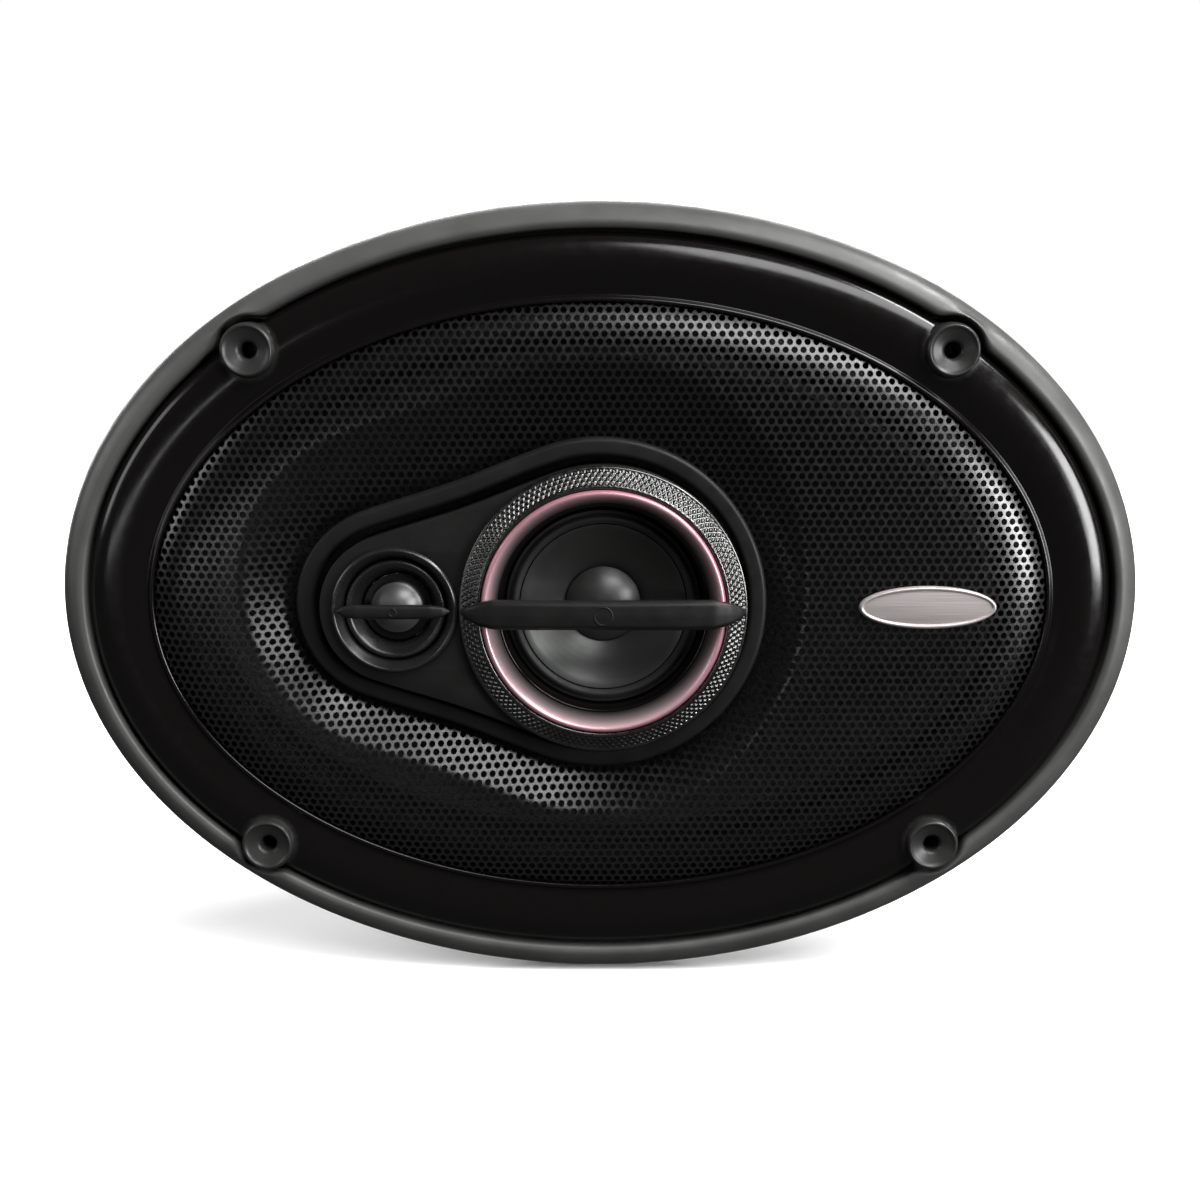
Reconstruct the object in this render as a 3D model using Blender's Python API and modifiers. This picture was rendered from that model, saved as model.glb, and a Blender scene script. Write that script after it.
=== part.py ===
"""Three-way oval coaxial car speaker, 6x9 inch class, as an assembly of separate parts.

Frame: the speaker stands upright with its front facing -Y, its long axis along X and +Z up.
The origin is the middle of the mounting plane, where the steel flange meets the panel.
Every dimension here is in millimetres. "Forward" is the distance in front of the mounting
plane (world -Y), so pieces behind the panel have negative forward values.
"""

import math

import bmesh
import bpy
from mathutils import Vector

MM = 0.001
GAP = 0.3                      # clearance kept between pieces that touch

# Outer oval and mounting
OVAL_HALF_WIDTH = 119.0
OVAL_HALF_HEIGHT = 86.0
SCREW_X = 74.5                 # mounting screw positions
SCREW_Z = 54.5
SCREW_HOLE_RADIUS = 2.1
BOSS_BASE_RADIUS = 6.6
BOSS_TOP_RADIUS = 5.0
BOSS_FRONT = 10.5
SCALLOP_RADIUS = 7.4           # the trim ring clears each boss by this radius
FLANGE_THICKNESS = 1.2
TRIM_WIDTH = 6.2
TRIM_FRONT = 7.9
BEZEL_OUTER_INSET = 6.8
BEZEL_INNER_INSET = 21.4

# Pear-shaped pod in the middle
POD_RING_BIG_RADIUS = 36.3
POD_RING_SMALL_RADIUS = 21.4
POD_RING_BAND = 4.0
POD_RING_FRONT = 10.0
POD_RING_BACK = 4.0
LOBE_DISTANCE = 44.7
WAIST_SAG = 0.6                # how far the pear's straight sides are pulled in
POD_BIG_RADIUS = 31.0
POD_SMALL_RADIUS = 16.2
POD_WALL = 1.6
BAFFLE_BACK = 11.6
BAFFLE_FRONT = 13.4
MID_X = 0.7                    # midrange axis
MID_Z = -0.4
TWEETER_X = -44.1              # super tweeter axis
TWEETER_Z = -0.4
FAN_X = -14.0                  # point inside the pear that the mesh fans out from

# Woofer
CONE_RIM_INSET = 31.0
CONE_NECK_RADIUS = 16.8
CONE_NECK_FORWARD = -35.0
COIL_INNER_RADIUS = 16.0
COIL_OUTER_RADIUS = 16.4
POLE_RADIUS = 15.2
POLE_FRONT = -50.0
PLATE_RADIUS = 45.0
PLATE_FRONT = -51.5
PLATE_BACK = -57.5
MAGNET_RADIUS = 50.0
MAGNET_BACK = -75.8
YOKE_BACK = -82.0
LEDGE_FORWARD = -42.6          # ledge that the spider is glued to
CUP_RADIUS = 44.6
RIVET_CIRCLE = 32.0

OVAL_STEPS = 48
FAN_STEPS = 48
ROUND_STEPS = 28
SMALL_STEPS = 16
TINY_STEPS = 10


# ---------------------------------------------------------------- helpers

def place(x, forward, z):
    """World position in metres of a point given in millimetres."""
    return Vector((x, -forward, z)) * MM


def start_scene():
    """Empty the scene and make the two collections."""
    for obj in list(bpy.data.objects):
        bpy.data.objects.remove(obj, do_unlink=True)
    parts = bpy.data.collections.new("coaxial_car_speaker")
    cutters = bpy.data.collections.new("cutters")
    bpy.context.scene.collection.children.link(parts)
    bpy.context.scene.collection.children.link(cutters)
    return parts, cutters


PARTS, CUTTERS = start_scene()


def material(name, colour, roughness, metallic=0.0):
    """One Principled material."""
    mat = bpy.data.materials.new(name)
    mat.use_nodes = True
    shader = mat.node_tree.nodes["Principled BSDF"]
    shader.inputs["Base Color"].default_value = (*colour, 1.0)
    shader.inputs["Roughness"].default_value = roughness
    shader.inputs["Metallic"].default_value = metallic
    return mat


def finish(obj, look, parent=None):
    """Put an object in the parts collection with its own material and parent."""
    PARTS.objects.link(obj)
    obj.data.materials.clear()
    obj.data.materials.append(material(obj.name, *look))
    if parent is not None:
        obj.parent = parent
    return obj


def axis_empty(name, x, z):
    """An empty on a front-back axis, the parent of what sits on that axis."""
    empty = bpy.data.objects.new(name, None)
    empty.location = place(x, 0.0, z)
    empty.empty_display_size = 0.01
    PARTS.objects.link(empty)
    return empty


def turned_mesh(name, profile, steps):
    """Object turned about its local Z from a (radius, height) profile in millimetres.

    The profile may be listed either way round. It is a closed loop, unless both its ends
    are on the axis.
    """
    closed = profile[0][0] > 0.0 or profile[-1][0] > 0.0
    pairs = zip(profile, profile[1:] + profile[:1])
    doubled_area = sum(a[0] * b[1] - b[0] * a[1] for a, b in pairs)
    points = profile if doubled_area < 0.0 else profile[::-1]
    mesh = bpy.data.meshes.new(name)
    edges = [(i, i + 1) for i in range(len(points) - 1)]
    if closed:
        edges.append((len(points) - 1, 0))
    mesh.from_pydata([(r * MM, 0.0, h * MM) for r, h in points], edges, [])
    obj = bpy.data.objects.new(name, mesh)
    screw = obj.modifiers.new("turn", 'SCREW')
    screw.axis = 'Z'
    screw.steps = steps
    screw.render_steps = steps
    screw.use_merge_vertices = True
    screw.merge_threshold = 0.000001
    screw.use_smooth_shade = True
    obj.rotation_euler = (math.pi / 2.0, 0.0, 0.0)
    return obj


def turned(name, profile, look, steps=ROUND_STEPS, parent=None, centre=(0.0, 0.0)):
    """A part turned about a front-back axis from (radius, forward) points."""
    obj = turned_mesh(name, profile, steps)
    obj.location = place(centre[0], 0.0, centre[1])
    return finish(obj, look, parent)


def flat_plate_mesh(name, outlines, back, front):
    """Object with flat faces cut to closed (x, z) outlines; inner outlines are holes."""
    curve = bpy.data.curves.new(name, 'CURVE')
    curve.dimensions = '2D'
    curve.fill_mode = 'BOTH'
    curve.extrude = (front - back) / 2.0 * MM
    for outline in outlines:
        spline = curve.splines.new('POLY')
        spline.points.add(len(outline) - 1)
        for point, (x, z) in zip(spline.points, outline):
            point.co = (x * MM, z * MM, 0.0, 1.0)
        spline.use_cyclic_u = True
    guide = bpy.data.objects.new(name + "_outline", curve)
    CUTTERS.objects.link(guide)
    bpy.context.view_layer.update()
    mesh = bpy.data.meshes.new_from_object(guide.evaluated_get(bpy.context.evaluated_depsgraph_get()))
    bpy.data.objects.remove(guide, do_unlink=True)
    weld(mesh)
    obj = bpy.data.objects.new(name, mesh)
    obj.rotation_euler = (math.pi / 2.0, 0.0, 0.0)
    obj.location = place(0.0, (back + front) / 2.0, 0.0)
    return obj


def weld(mesh):
    """Join the loose caps of a mesh made from a curve."""
    bm = bmesh.new()
    bm.from_mesh(mesh)
    bmesh.ops.remove_doubles(bm, verts=bm.verts, dist=0.00001)
    bmesh.ops.recalc_face_normals(bm, faces=bm.faces)
    bm.to_mesh(mesh)
    bm.free()


def flat_plate(name, outlines, back, front, look, parent=None, centre=(0.0, 0.0)):
    """A flat part. The outlines are measured from the centre."""
    obj = flat_plate_mesh(name, outlines, back, front)
    obj.location += place(centre[0], 0.0, centre[1])
    return finish(obj, look, parent)


def lofted_ring(name, rails, angles, look, parent=None):
    """A ring whose section runs through the rails, each a function from angle to a point."""
    bm = bmesh.new()
    sections = [[bm.verts.new(rail(angle)) for rail in rails] for angle in angles]
    for section, following in zip(sections, sections[1:] + sections[:1]):
        for i in range(len(rails)):
            j = (i + 1) % len(rails)
            bm.faces.new((section[i], section[j], following[j], following[i]))
    if bm.calc_volume(signed=True) < 0.0:
        bmesh.ops.reverse_faces(bm, faces=bm.faces)
    mesh = bpy.data.meshes.new(name)
    bm.to_mesh(mesh)
    bm.free()
    mesh.shade_smooth()
    mesh.set_sharp_from_angle(angle=math.radians(35.0))
    return finish(bpy.data.objects.new(name, mesh), look, parent)


def wire(name, route, radius, look):
    """A flexible lead along a smooth curve through the route's points."""
    curve = bpy.data.curves.new(name, 'CURVE')
    curve.dimensions = '3D'
    curve.bevel_depth = radius * MM
    curve.bevel_resolution = 1
    curve.resolution_u = 1
    curve.use_fill_caps = True
    points = smooth_route([Vector(p) for p in route], 3)
    spline = curve.splines.new('POLY')
    spline.points.add(len(points) - 1)
    for point, at in zip(spline.points, points):
        point.co = (*place(*at), 1.0)
    return finish(bpy.data.objects.new(name, curve), look)


def smooth_route(knots, per_span):
    """Points of a Catmull-Rom curve through the knots."""
    padded = [2.0 * knots[0] - knots[1], *knots, 2.0 * knots[-1] - knots[-2]]
    points = []
    for a, b, c, d in zip(padded, padded[1:], padded[2:], padded[3:]):
        for step in range(per_span):
            t = step / per_span
            cubic = (3.0 * b - 3.0 * c + d - a) * t ** 3
            points.append((2.0 * b + (c - a) * t + (2.0 * a - 5.0 * b + 4.0 * c - d) * t * t + cubic) / 2.0)
    points.append(knots[-1])
    return points


def as_cutter(obj):
    """Hide a helper solid and put it with the cutters."""
    CUTTERS.objects.link(obj)
    obj.hide_render = True
    obj.display_type = 'WIRE'
    return obj


def boolean(target, helper, operation, solver='EXACT'):
    """Cut the helper from the target, or join it to the target."""
    modifier = target.modifiers.new(helper.name, 'BOOLEAN')
    modifier.operation = operation
    modifier.object = helper
    modifier.solver = solver


def round_cutter(name, radius, back, front, x, z, steps=TINY_STEPS):
    """A round helper solid on a front-back axis."""
    obj = turned_mesh(name, [(0.0, front), (radius, front), (radius, back), (0.0, back)], steps)
    obj.location = place(x, 0.0, z)
    return as_cutter(obj)


# ---------------------------------------------------------------- outlines

def full_turn(steps):
    """Evenly spaced angles once round."""
    return [math.tau * i / steps for i in range(steps)]


def oval_point(angle, inset):
    """(x, z) on the outer oval moved inward along its normal."""
    x = OVAL_HALF_WIDTH * math.cos(angle)
    z = OVAL_HALF_HEIGHT * math.sin(angle)
    normal = Vector((math.cos(angle) / OVAL_HALF_WIDTH, math.sin(angle) / OVAL_HALF_HEIGHT)).normalized()
    return x - inset * normal.x, z - inset * normal.y


def on_oval(inset, forward):
    """Rail round the oval at an inset."""
    def rail(angle):
        x, z = oval_point(angle, inset)
        return place(x, forward, z)
    return rail


def on_circle(radius, forward):
    """Rail round a circle on the speaker's axis."""
    return lambda angle: place(radius * math.cos(angle), forward, radius * math.sin(angle))


def between(first, second, share):
    """Rail between two others."""
    return lambda angle: first(angle).lerp(second(angle), share)


def circle(radius, steps=SMALL_STEPS, x=0.0, z=0.0):
    """Closed circular outline."""
    return [(x + radius * math.cos(a), z + radius * math.sin(a)) for a in full_turn(steps)]


def pear(big_radius, small_radius, distance=LOBE_DISTANCE, sag=WAIST_SAG):
    """Pear outline: a big lobe at the origin, a small one at -X, and nearly straight sides."""
    lean = math.asin((big_radius - small_radius) / distance)
    tangent = math.pi / 2.0 + lean
    big = [(big_radius * math.cos(a), big_radius * math.sin(a))
           for a in arc_angles(-tangent, tangent, 22)]
    small = [(small_radius * math.cos(a) - distance, small_radius * math.sin(a))
             for a in arc_angles(tangent, math.tau - tangent, 10)]
    return big + side(big[-1], small[0], -sag) + small + side(small[-1], big[0], -sag)


def arc_angles(start, end, steps):
    """Angles of an arc, both ends included."""
    return [start + (end - start) * i / steps for i in range(steps + 1)]


def side(start, end, bulge, steps=4):
    """Inner points of a side from start to end, bowed to its right by the bulge."""
    a = Vector(start)
    b = Vector(end)
    along = (b - a).normalized()
    right = Vector((along.y, -along.x))
    shares = [i / steps for i in range(1, steps)]
    return [tuple(a.lerp(b, s) + right * bulge * math.sin(math.pi * s) ** 2) for s in shares]


def ray_length(outline, angle):
    """Distance from the fan point to a closed outline along a ray."""
    ray = Vector((math.cos(angle), math.sin(angle)))
    centre = Vector((FAN_X, 0.0))
    for start, end in zip(outline, outline[1:] + outline[:1]):
        a = Vector(start) - centre
        edge = Vector(end) - Vector(start)
        turn = ray.x * edge.y - ray.y * edge.x
        if abs(turn) < 1e-12:
            continue
        share = (a.x * ray.y - a.y * ray.x) / turn
        length = (a.x * edge.y - a.y * edge.x) / turn
        if -1e-9 <= share <= 1.0 + 1e-9 and length > 0.0:
            return length
    raise ValueError("the outline does not go round the fan point")


def on_fan(outline, forward, outward=0.0):
    """Rail along an outline, read along rays from the fan point."""
    def rail(angle):
        length = ray_length(outline, angle) + outward
        return place(FAN_X + length * math.cos(angle), forward, length * math.sin(angle))
    return rail


# ---------------------------------------------------------------- looks: colour, roughness, metallic

SATIN_GREY = ((0.16, 0.16, 0.155), 0.5, 0.0)
GLOSS_BLACK = ((0.006, 0.006, 0.006), 0.12, 0.0)
BLACK_STEEL = ((0.02, 0.02, 0.02), 0.35, 0.6)
MATTE_BLACK = ((0.018, 0.018, 0.017), 0.6, 0.0)
SILVER = ((0.62, 0.57, 0.56), 0.3, 1.0)
PINK_METAL = ((0.62, 0.22, 0.26), 0.25, 1.0)
DARK_CHROME = ((0.22, 0.22, 0.22), 0.25, 1.0)
CONE_GREY = ((0.07, 0.07, 0.07), 0.35, 0.0)
DOME_GREY = ((0.25, 0.25, 0.25), 0.3, 0.3)
RUBBER = ((0.012, 0.012, 0.012), 0.7, 0.0)
CONE_PAPER = ((0.03, 0.03, 0.03), 0.7, 0.0)
ZINC = ((0.6, 0.6, 0.58), 0.35, 1.0)
FERRITE = ((0.06, 0.06, 0.065), 0.55, 0.1)
KAPTON = ((0.35, 0.16, 0.04), 0.4, 0.0)
COPPER = ((0.75, 0.33, 0.18), 0.35, 1.0)
SPIDER_CLOTH = ((0.55, 0.36, 0.12), 0.9, 0.0)
FIBRE_BOARD = ((0.25, 0.13, 0.06), 0.7, 0.0)
TINNED = ((0.7, 0.7, 0.68), 0.3, 1.0)
BLUE_SLEEVE = ((0.03, 0.06, 0.3), 0.4, 0.0)


# ---------------------------------------------------------------- front ring, bezel and grille

OVAL_ANGLES = full_turn(OVAL_STEPS)
SCREWS = [(sx * SCREW_X, sz * SCREW_Z) for sz in (1, -1) for sx in (-1, 1)]


def make_outer_trim_ring():
    """Satin ring that wraps the flange edge, scalloped round the four bosses."""
    skirt_inset = 2.3
    underside = FLANGE_THICKNESS + GAP
    section = [(0.0, 0.2), (0.0, 3.2), (2.0, 6.6), (5.0, TRIM_FRONT), (TRIM_WIDTH, TRIM_FRONT - 0.6),
               (TRIM_WIDTH, underside), (skirt_inset, underside), (skirt_inset, 0.2)]
    ring = lofted_ring("outer_trim_ring", [on_oval(*p) for p in section], OVAL_ANGLES, SATIN_GREY)
    for number, (x, z) in enumerate(SCREWS, 1):
        cutter = round_cutter(f"scallop_{number}", SCALLOP_RADIUS, underside - 0.5, TRIM_FRONT + 1.0,
                              x, z, SMALL_STEPS)
        boolean(ring, cutter, 'DIFFERENCE')


def make_grille_bezel():
    """Gloss black roll between the trim ring and the mesh, with four screw bosses."""
    foot = FLANGE_THICKNESS + GAP
    outer = BEZEL_OUTER_INSET
    inner = BEZEL_INNER_INSET
    section = [(outer, foot), (outer, 5.8), (9.0, 7.9), (13.0, 8.8), (17.0, 8.3), (20.2, 7.3),
               (20.6, 8.0), (inner, 7.8), (inner, 5.2), (19.4, 5.2), (13.0, 6.8), (outer + 2.0, 5.4),
               (outer + 2.0, foot)]
    bezel = lofted_ring("grille_bezel", [on_oval(*p) for p in section], OVAL_ANGLES, GLOSS_BLACK)
    for number, (x, z) in enumerate(SCREWS, 1):
        profile = [(0.0, BOSS_FRONT), (BOSS_TOP_RADIUS - 0.8, BOSS_FRONT), (BOSS_TOP_RADIUS, BOSS_FRONT - 0.9),
                   (BOSS_BASE_RADIUS, foot), (0.0, foot)]
        boss = turned_mesh(f"boss_{number}", profile, SMALL_STEPS)
        boss.location = place(x, 0.0, z)
        boolean(bezel, as_cutter(boss), 'UNION', 'MANIFOLD')
        hole = [(0.0, BOSS_FRONT + 1.0), (3.9, BOSS_FRONT + 1.0), (2.9, BOSS_FRONT - 0.9),
                (SCREW_HOLE_RADIUS, BOSS_FRONT - 1.8), (SCREW_HOLE_RADIUS, foot - 1.0), (0.0, foot - 1.0)]
        bore = turned_mesh(f"boss_bore_{number}", hole, SMALL_STEPS)
        bore.location = place(x, 0.0, z)
        boolean(bezel, as_cutter(bore), 'DIFFERENCE', 'MANIFOLD')


def moat_outline(reach):
    """Egg-shaped edge of the recess round the pod; the reach scales the recess width."""
    outline = pear(POD_RING_BIG_RADIUS, POD_RING_SMALL_RADIUS)
    moved = []
    for before, point, after in zip(outline[-1:] + outline, outline, outline[1:] + outline[:1]):
        along = (Vector(after) - Vector(before)).normalized()
        normal = Vector((along.y, -along.x))
        width = 9.5 + 3.25 * normal.y - 1.5 * normal.x + 4.25 * normal.y ** 2
        moved.append(tuple(Vector(point) + normal * width * reach))
    return moved


def make_grille_mesh():
    """Domed sheet from the bezel's lip to the pod ring, with the recess round the pod."""
    sheet = 0.8
    pod_edge = pear(POD_RING_BIG_RADIUS + GAP, POD_RING_SMALL_RADIUS + GAP)
    rim = [oval_point(a, BEZEL_INNER_INSET + GAP) for a in full_turn(96)]
    shoulder = [oval_point(a, BEZEL_INNER_INSET + 3.0) for a in full_turn(96)]
    recess = moat_outline(1.0)
    recess_edge = on_fan(recess, 11.0)
    front = [on_fan(pod_edge, 5.2), on_fan(moat_outline(0.92), 10.8), on_fan(moat_outline(1.1), 11.2),
             between(recess_edge, on_fan(shoulder, 10.9), 0.55),
             on_fan(shoulder, 9.5), on_fan(rim, 7.4)]
    back = [lowered(rail, sheet) for rail in reversed(front)]
    lofted_ring("grille_mesh", front + back, full_turn(FAN_STEPS), BLACK_STEEL)


def lowered(rail, depth):
    """The same rail moved backward."""
    return lambda angle: rail(angle) + place(0.0, -depth, 0.0)


def make_badge_plate():
    """Small lens-shaped oval plate on the right of the grille."""
    half_length = 14.8
    half_height = 4.65
    outline = [(half_length * math.cos(a), half_height * math.sin(a)) for a in full_turn(32)]
    flat_plate("badge_plate", [outline], 12.2, 13.4, SILVER, centre=(70.5, 0.0))


def make_pod_ring():
    """Matte pear-shaped ring on the mesh's inner edge."""
    big = POD_RING_BIG_RADIUS
    small = POD_RING_SMALL_RADIUS
    band = POD_RING_BAND
    section = [(0.0, POD_RING_BACK), (0.0, POD_RING_FRONT - 0.7), (0.6, POD_RING_FRONT),
               (band - 0.5, POD_RING_FRONT), (band, POD_RING_FRONT - 0.5), (band, POD_RING_BACK)]
    rails = [on_fan(pear(big - inset, small - inset), forward) for inset, forward in section]
    lofted_ring("pod_ring", rails, full_turn(FAN_STEPS), MATTE_BLACK)


# ---------------------------------------------------------------- pod: housing, midrange, tweeter

POD_AXIS = axis_empty("midrange_axis", MID_X, MID_Z)
TWEETER_AXIS = axis_empty("tweeter_axis", TWEETER_X, TWEETER_Z)
CAN_BACK = -15.0
CAN_RADIUS = 22.0


def make_pod_housing():
    """Plastic shell of the pod: a pear tray with a can behind the midrange."""
    tray_back = -3.0
    distance = MID_X - TWEETER_X
    housing = flat_plate_mesh("pod_housing", [pear(POD_BIG_RADIUS, POD_SMALL_RADIUS, distance)],
                              tray_back, BAFFLE_BACK - GAP)
    finish(housing, MATTE_BLACK, POD_AXIS)
    inside = flat_plate_mesh("tray_inside", [pear(POD_BIG_RADIUS - POD_WALL, POD_SMALL_RADIUS - POD_WALL,
                                                  distance)], tray_back + POD_WALL, BAFFLE_BACK + 2.0)
    inside.location += place(MID_X, 0.0, MID_Z)
    steps = [
        (round_cutter("can", CAN_RADIUS, CAN_BACK, tray_back + 1.0, MID_X, MID_Z, SMALL_STEPS + 8), 'UNION'),
        (as_cutter(inside), 'DIFFERENCE'),
        (round_cutter("can_inside", CAN_RADIUS - POD_WALL, CAN_BACK + POD_WALL, tray_back + 4.0,
                      MID_X, MID_Z, ROUND_STEPS), 'DIFFERENCE'),
        (round_cutter("post_hole", 3.0, CAN_BACK - 2.0, CAN_BACK + 3.0, 0.0, 0.0, SMALL_STEPS), 'DIFFERENCE'),
    ]
    for helper, operation in steps:
        boolean(housing, helper, operation, 'MANIFOLD')


MID_PLATE_HOLE = 27.2
TWEETER_PLATE_HOLE = 12.4


def make_pod_baffle():
    """Front plate of the pod, with holes for the midrange and the tweeter."""
    distance = MID_X - TWEETER_X
    outlines = [pear(POD_BIG_RADIUS, POD_SMALL_RADIUS, distance), circle(MID_PLATE_HOLE, ROUND_STEPS),
                circle(TWEETER_PLATE_HOLE, SMALL_STEPS, x=-distance)]
    flat_plate("pod_baffle", outlines, BAFFLE_BACK, BAFFLE_FRONT, MATTE_BLACK, POD_AXIS)


def make_midrange():
    """Midrange unit, from the knurled collar back to its magnet."""
    on_plate = BAFFLE_FRONT + GAP
    turned("mid_collar", [(30.9, on_plate), (30.9, 14.6), (30.2, 14.9), (26.9, 17.4), (26.3, 17.4),
                          (26.3, on_plate)], DARK_CHROME, parent=POD_AXIS)
    turned("mid_trim_ring", [(26.0, 12.6), (26.0, 17.5), (25.3, 18.1), (24.6, 17.9), (23.6, 15.4),
                             (22.9, 12.6)], PINK_METAL, parent=POD_AXIS)
    turned("mid_frame", [(26.9, 12.3), (26.9, 11.1), (23.4, 11.1), (22.4, 7.4), (20.4, 7.4),
                         (13.5, -2.4), (6.9, -2.4), (6.9, -1.2), (12.9, -1.2), (19.4, 7.9),
                         (19.4, 8.6), (21.4, 8.6), (22.4, 12.3)], GLOSS_BLACK, parent=POD_AXIS)
    turned("mid_surround", [(21.1, 8.9), (21.1, 9.3), (20.2, 9.4), (19.3, 10.6), (18.4, 9.9),
                            (18.4, 9.5), (19.3, 10.1), (20.0, 8.9)], RUBBER, SMALL_STEPS, POD_AXIS)
    turned("mid_cone", [(18.1, 9.9), (18.1, 9.4), (17.2, 8.9), (7.3, 3.2), (6.9, 3.2), (6.9, 3.7),
                        (17.0, 9.5)], CONE_GREY, SMALL_STEPS, POD_AXIS)
    turned("mid_dust_dome", [(0.0, 8.1), (3.4, 7.7), (6.4, 6.5), (8.3, 4.95), (7.9, 4.75), (6.2, 6.1),
                             (3.3, 7.3), (0.0, 7.7)], DOME_GREY, SMALL_STEPS, POD_AXIS)
    turned("mid_voice_coil", [(6.5, 3.6), (6.5, -5.4), (6.1, -5.4), (6.1, 3.6)], KAPTON, SMALL_STEPS,
           POD_AXIS)
    turned("mid_top_plate", [(12.0, -2.7), (12.0, -4.7), (6.9, -4.7), (6.9, -2.7)], ZINC, SMALL_STEPS,
           POD_AXIS)
    turned("mid_magnet", [(15.0, -5.0), (15.0, -10.5), (8.2, -10.5), (8.2, -5.0)], FERRITE, SMALL_STEPS,
           POD_AXIS)
    turned("mid_yoke", [(0.0, -2.4), (5.7, -2.4), (5.7, -10.8), (14.0, -10.8), (14.0, -12.6),
                        (5.6, -12.6), (5.6, -11.0), (0.0, -11.0)], ZINC, SMALL_STEPS, POD_AXIS)


def bar_mesh(name, sections, look, parent):
    """A bar across a unit: (x, half height, back, front) sections, mirrored about its middle."""
    mirrored = [(-x, h, b, f) for x, h, b, f in sections[:0:-1]] + sections
    bm = bmesh.new()
    rings = []
    for x, half, back, front in mirrored:
        flat = half * 0.72
        corners = [(half, back), (half, (back + front) / 2.0), (flat, front), (-flat, front),
                   (-half, (back + front) / 2.0), (-half, back)]
        rings.append([bm.verts.new(place(x, forward, z)) for z, forward in corners])
    for ring, following in zip(rings, rings[1:]):
        for i in range(len(ring)):
            j = (i + 1) % len(ring)
            bm.faces.new((ring[i], ring[j], following[j], following[i]))
    bm.faces.new(rings[0])
    bm.faces.new(rings[-1])
    bmesh.ops.recalc_face_normals(bm, faces=bm.faces)
    mesh = bpy.data.meshes.new(name)
    bm.to_mesh(mesh)
    bm.free()
    return finish(bpy.data.objects.new(name, mesh), look, parent)


def make_mid_bridge_bar():
    """Bar across the midrange, with pointed ends on the collar."""
    bar_mesh("mid_bridge_bar", [(0.0, 3.05, 19.0, 21.4), (12.0, 3.05, 18.9, 21.3),
                                (23.5, 2.9, 18.5, 20.6), (26.5, 2.1, 17.9, 19.4),
                                (29.4, 0.5, 16.0, 16.8)], MATTE_BLACK, POD_AXIS)


def make_tweeter():
    """Super tweeter in the pod's small lobe."""
    on_plate = BAFFLE_FRONT + GAP
    turned("tweeter_housing", [(13.6, on_plate), (13.6, 14.4), (13.0, 14.9), (12.3, 14.8), (11.5, 13.0),
                               (11.1, 12.0), (11.1, 3.4), (1.5, 3.4), (1.5, 2.0), (12.1, 2.0),
                               (12.1, on_plate)], MATTE_BLACK, SMALL_STEPS, TWEETER_AXIS)
    turned("tweeter_waveguide", [(10.8, 8.6), (10.8, 12.6), (10.3, 13.1), (9.6, 12.9), (7.9, 10.4),
                                 (7.6, 8.6)], MATTE_BLACK, SMALL_STEPS, TWEETER_AXIS)
    turned("tweeter_dome", [(0.0, 12.6), (2.9, 12.1), (5.3, 10.4), (7.2, 9.9), (7.2, 9.5), (5.0, 9.9),
                            (2.7, 11.7), (0.0, 12.2)], DOME_GREY, SMALL_STEPS, TWEETER_AXIS)
    turned("tweeter_voice_coil", [(5.0, 9.5), (5.0, 6.6), (4.7, 6.6), (4.7, 9.5)], KAPTON, SMALL_STEPS,
           TWEETER_AXIS)
    turned("tweeter_magnet", [(0.0, 8.8), (4.2, 8.8), (4.2, 5.6), (0.0, 5.6)], FERRITE, SMALL_STEPS,
           TWEETER_AXIS)
    turned("tweeter_yoke", [(0.0, 5.3), (5.5, 5.3), (5.5, 8.6), (7.3, 8.6), (7.3, 3.8), (0.0, 3.8)],
           ZINC, SMALL_STEPS, TWEETER_AXIS)
    bar_mesh("tweeter_bar", [(0.0, 1.55, 15.6, 17.2), (8.0, 1.5, 15.5, 17.0), (10.6, 1.1, 15.3, 16.4),
                             (12.0, 0.3, 15.2, 15.7)], MATTE_BLACK, TWEETER_AXIS)


def make_post():
    """Hollow post on the pole that carries the pod, and the bolt through it."""
    top = CAN_BACK - GAP
    foot = POLE_FRONT + GAP
    turned("centre_post", [(9.0, top), (9.0, top - 2.0), (6.5, top - 3.5), (6.5, foot + 3.5),
                           (10.0, foot + 2.0), (10.0, foot), (3.2, foot), (3.2, top)], ZINC, SMALL_STEPS)
    head_seat = CAN_BACK + POD_WALL + GAP
    turned("post_bolt", [(0.0, head_seat + 1.7), (3.9, head_seat + 1.7), (4.5, head_seat + 1.2),
                         (4.5, head_seat), (2.5, head_seat), (2.5, -62.0), (0.0, -62.0)],
           TINNED, TINY_STEPS)


# ---------------------------------------------------------------- woofer

WOOFER_AXIS = axis_empty("woofer_axis", 0.0, 0.0)


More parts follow.
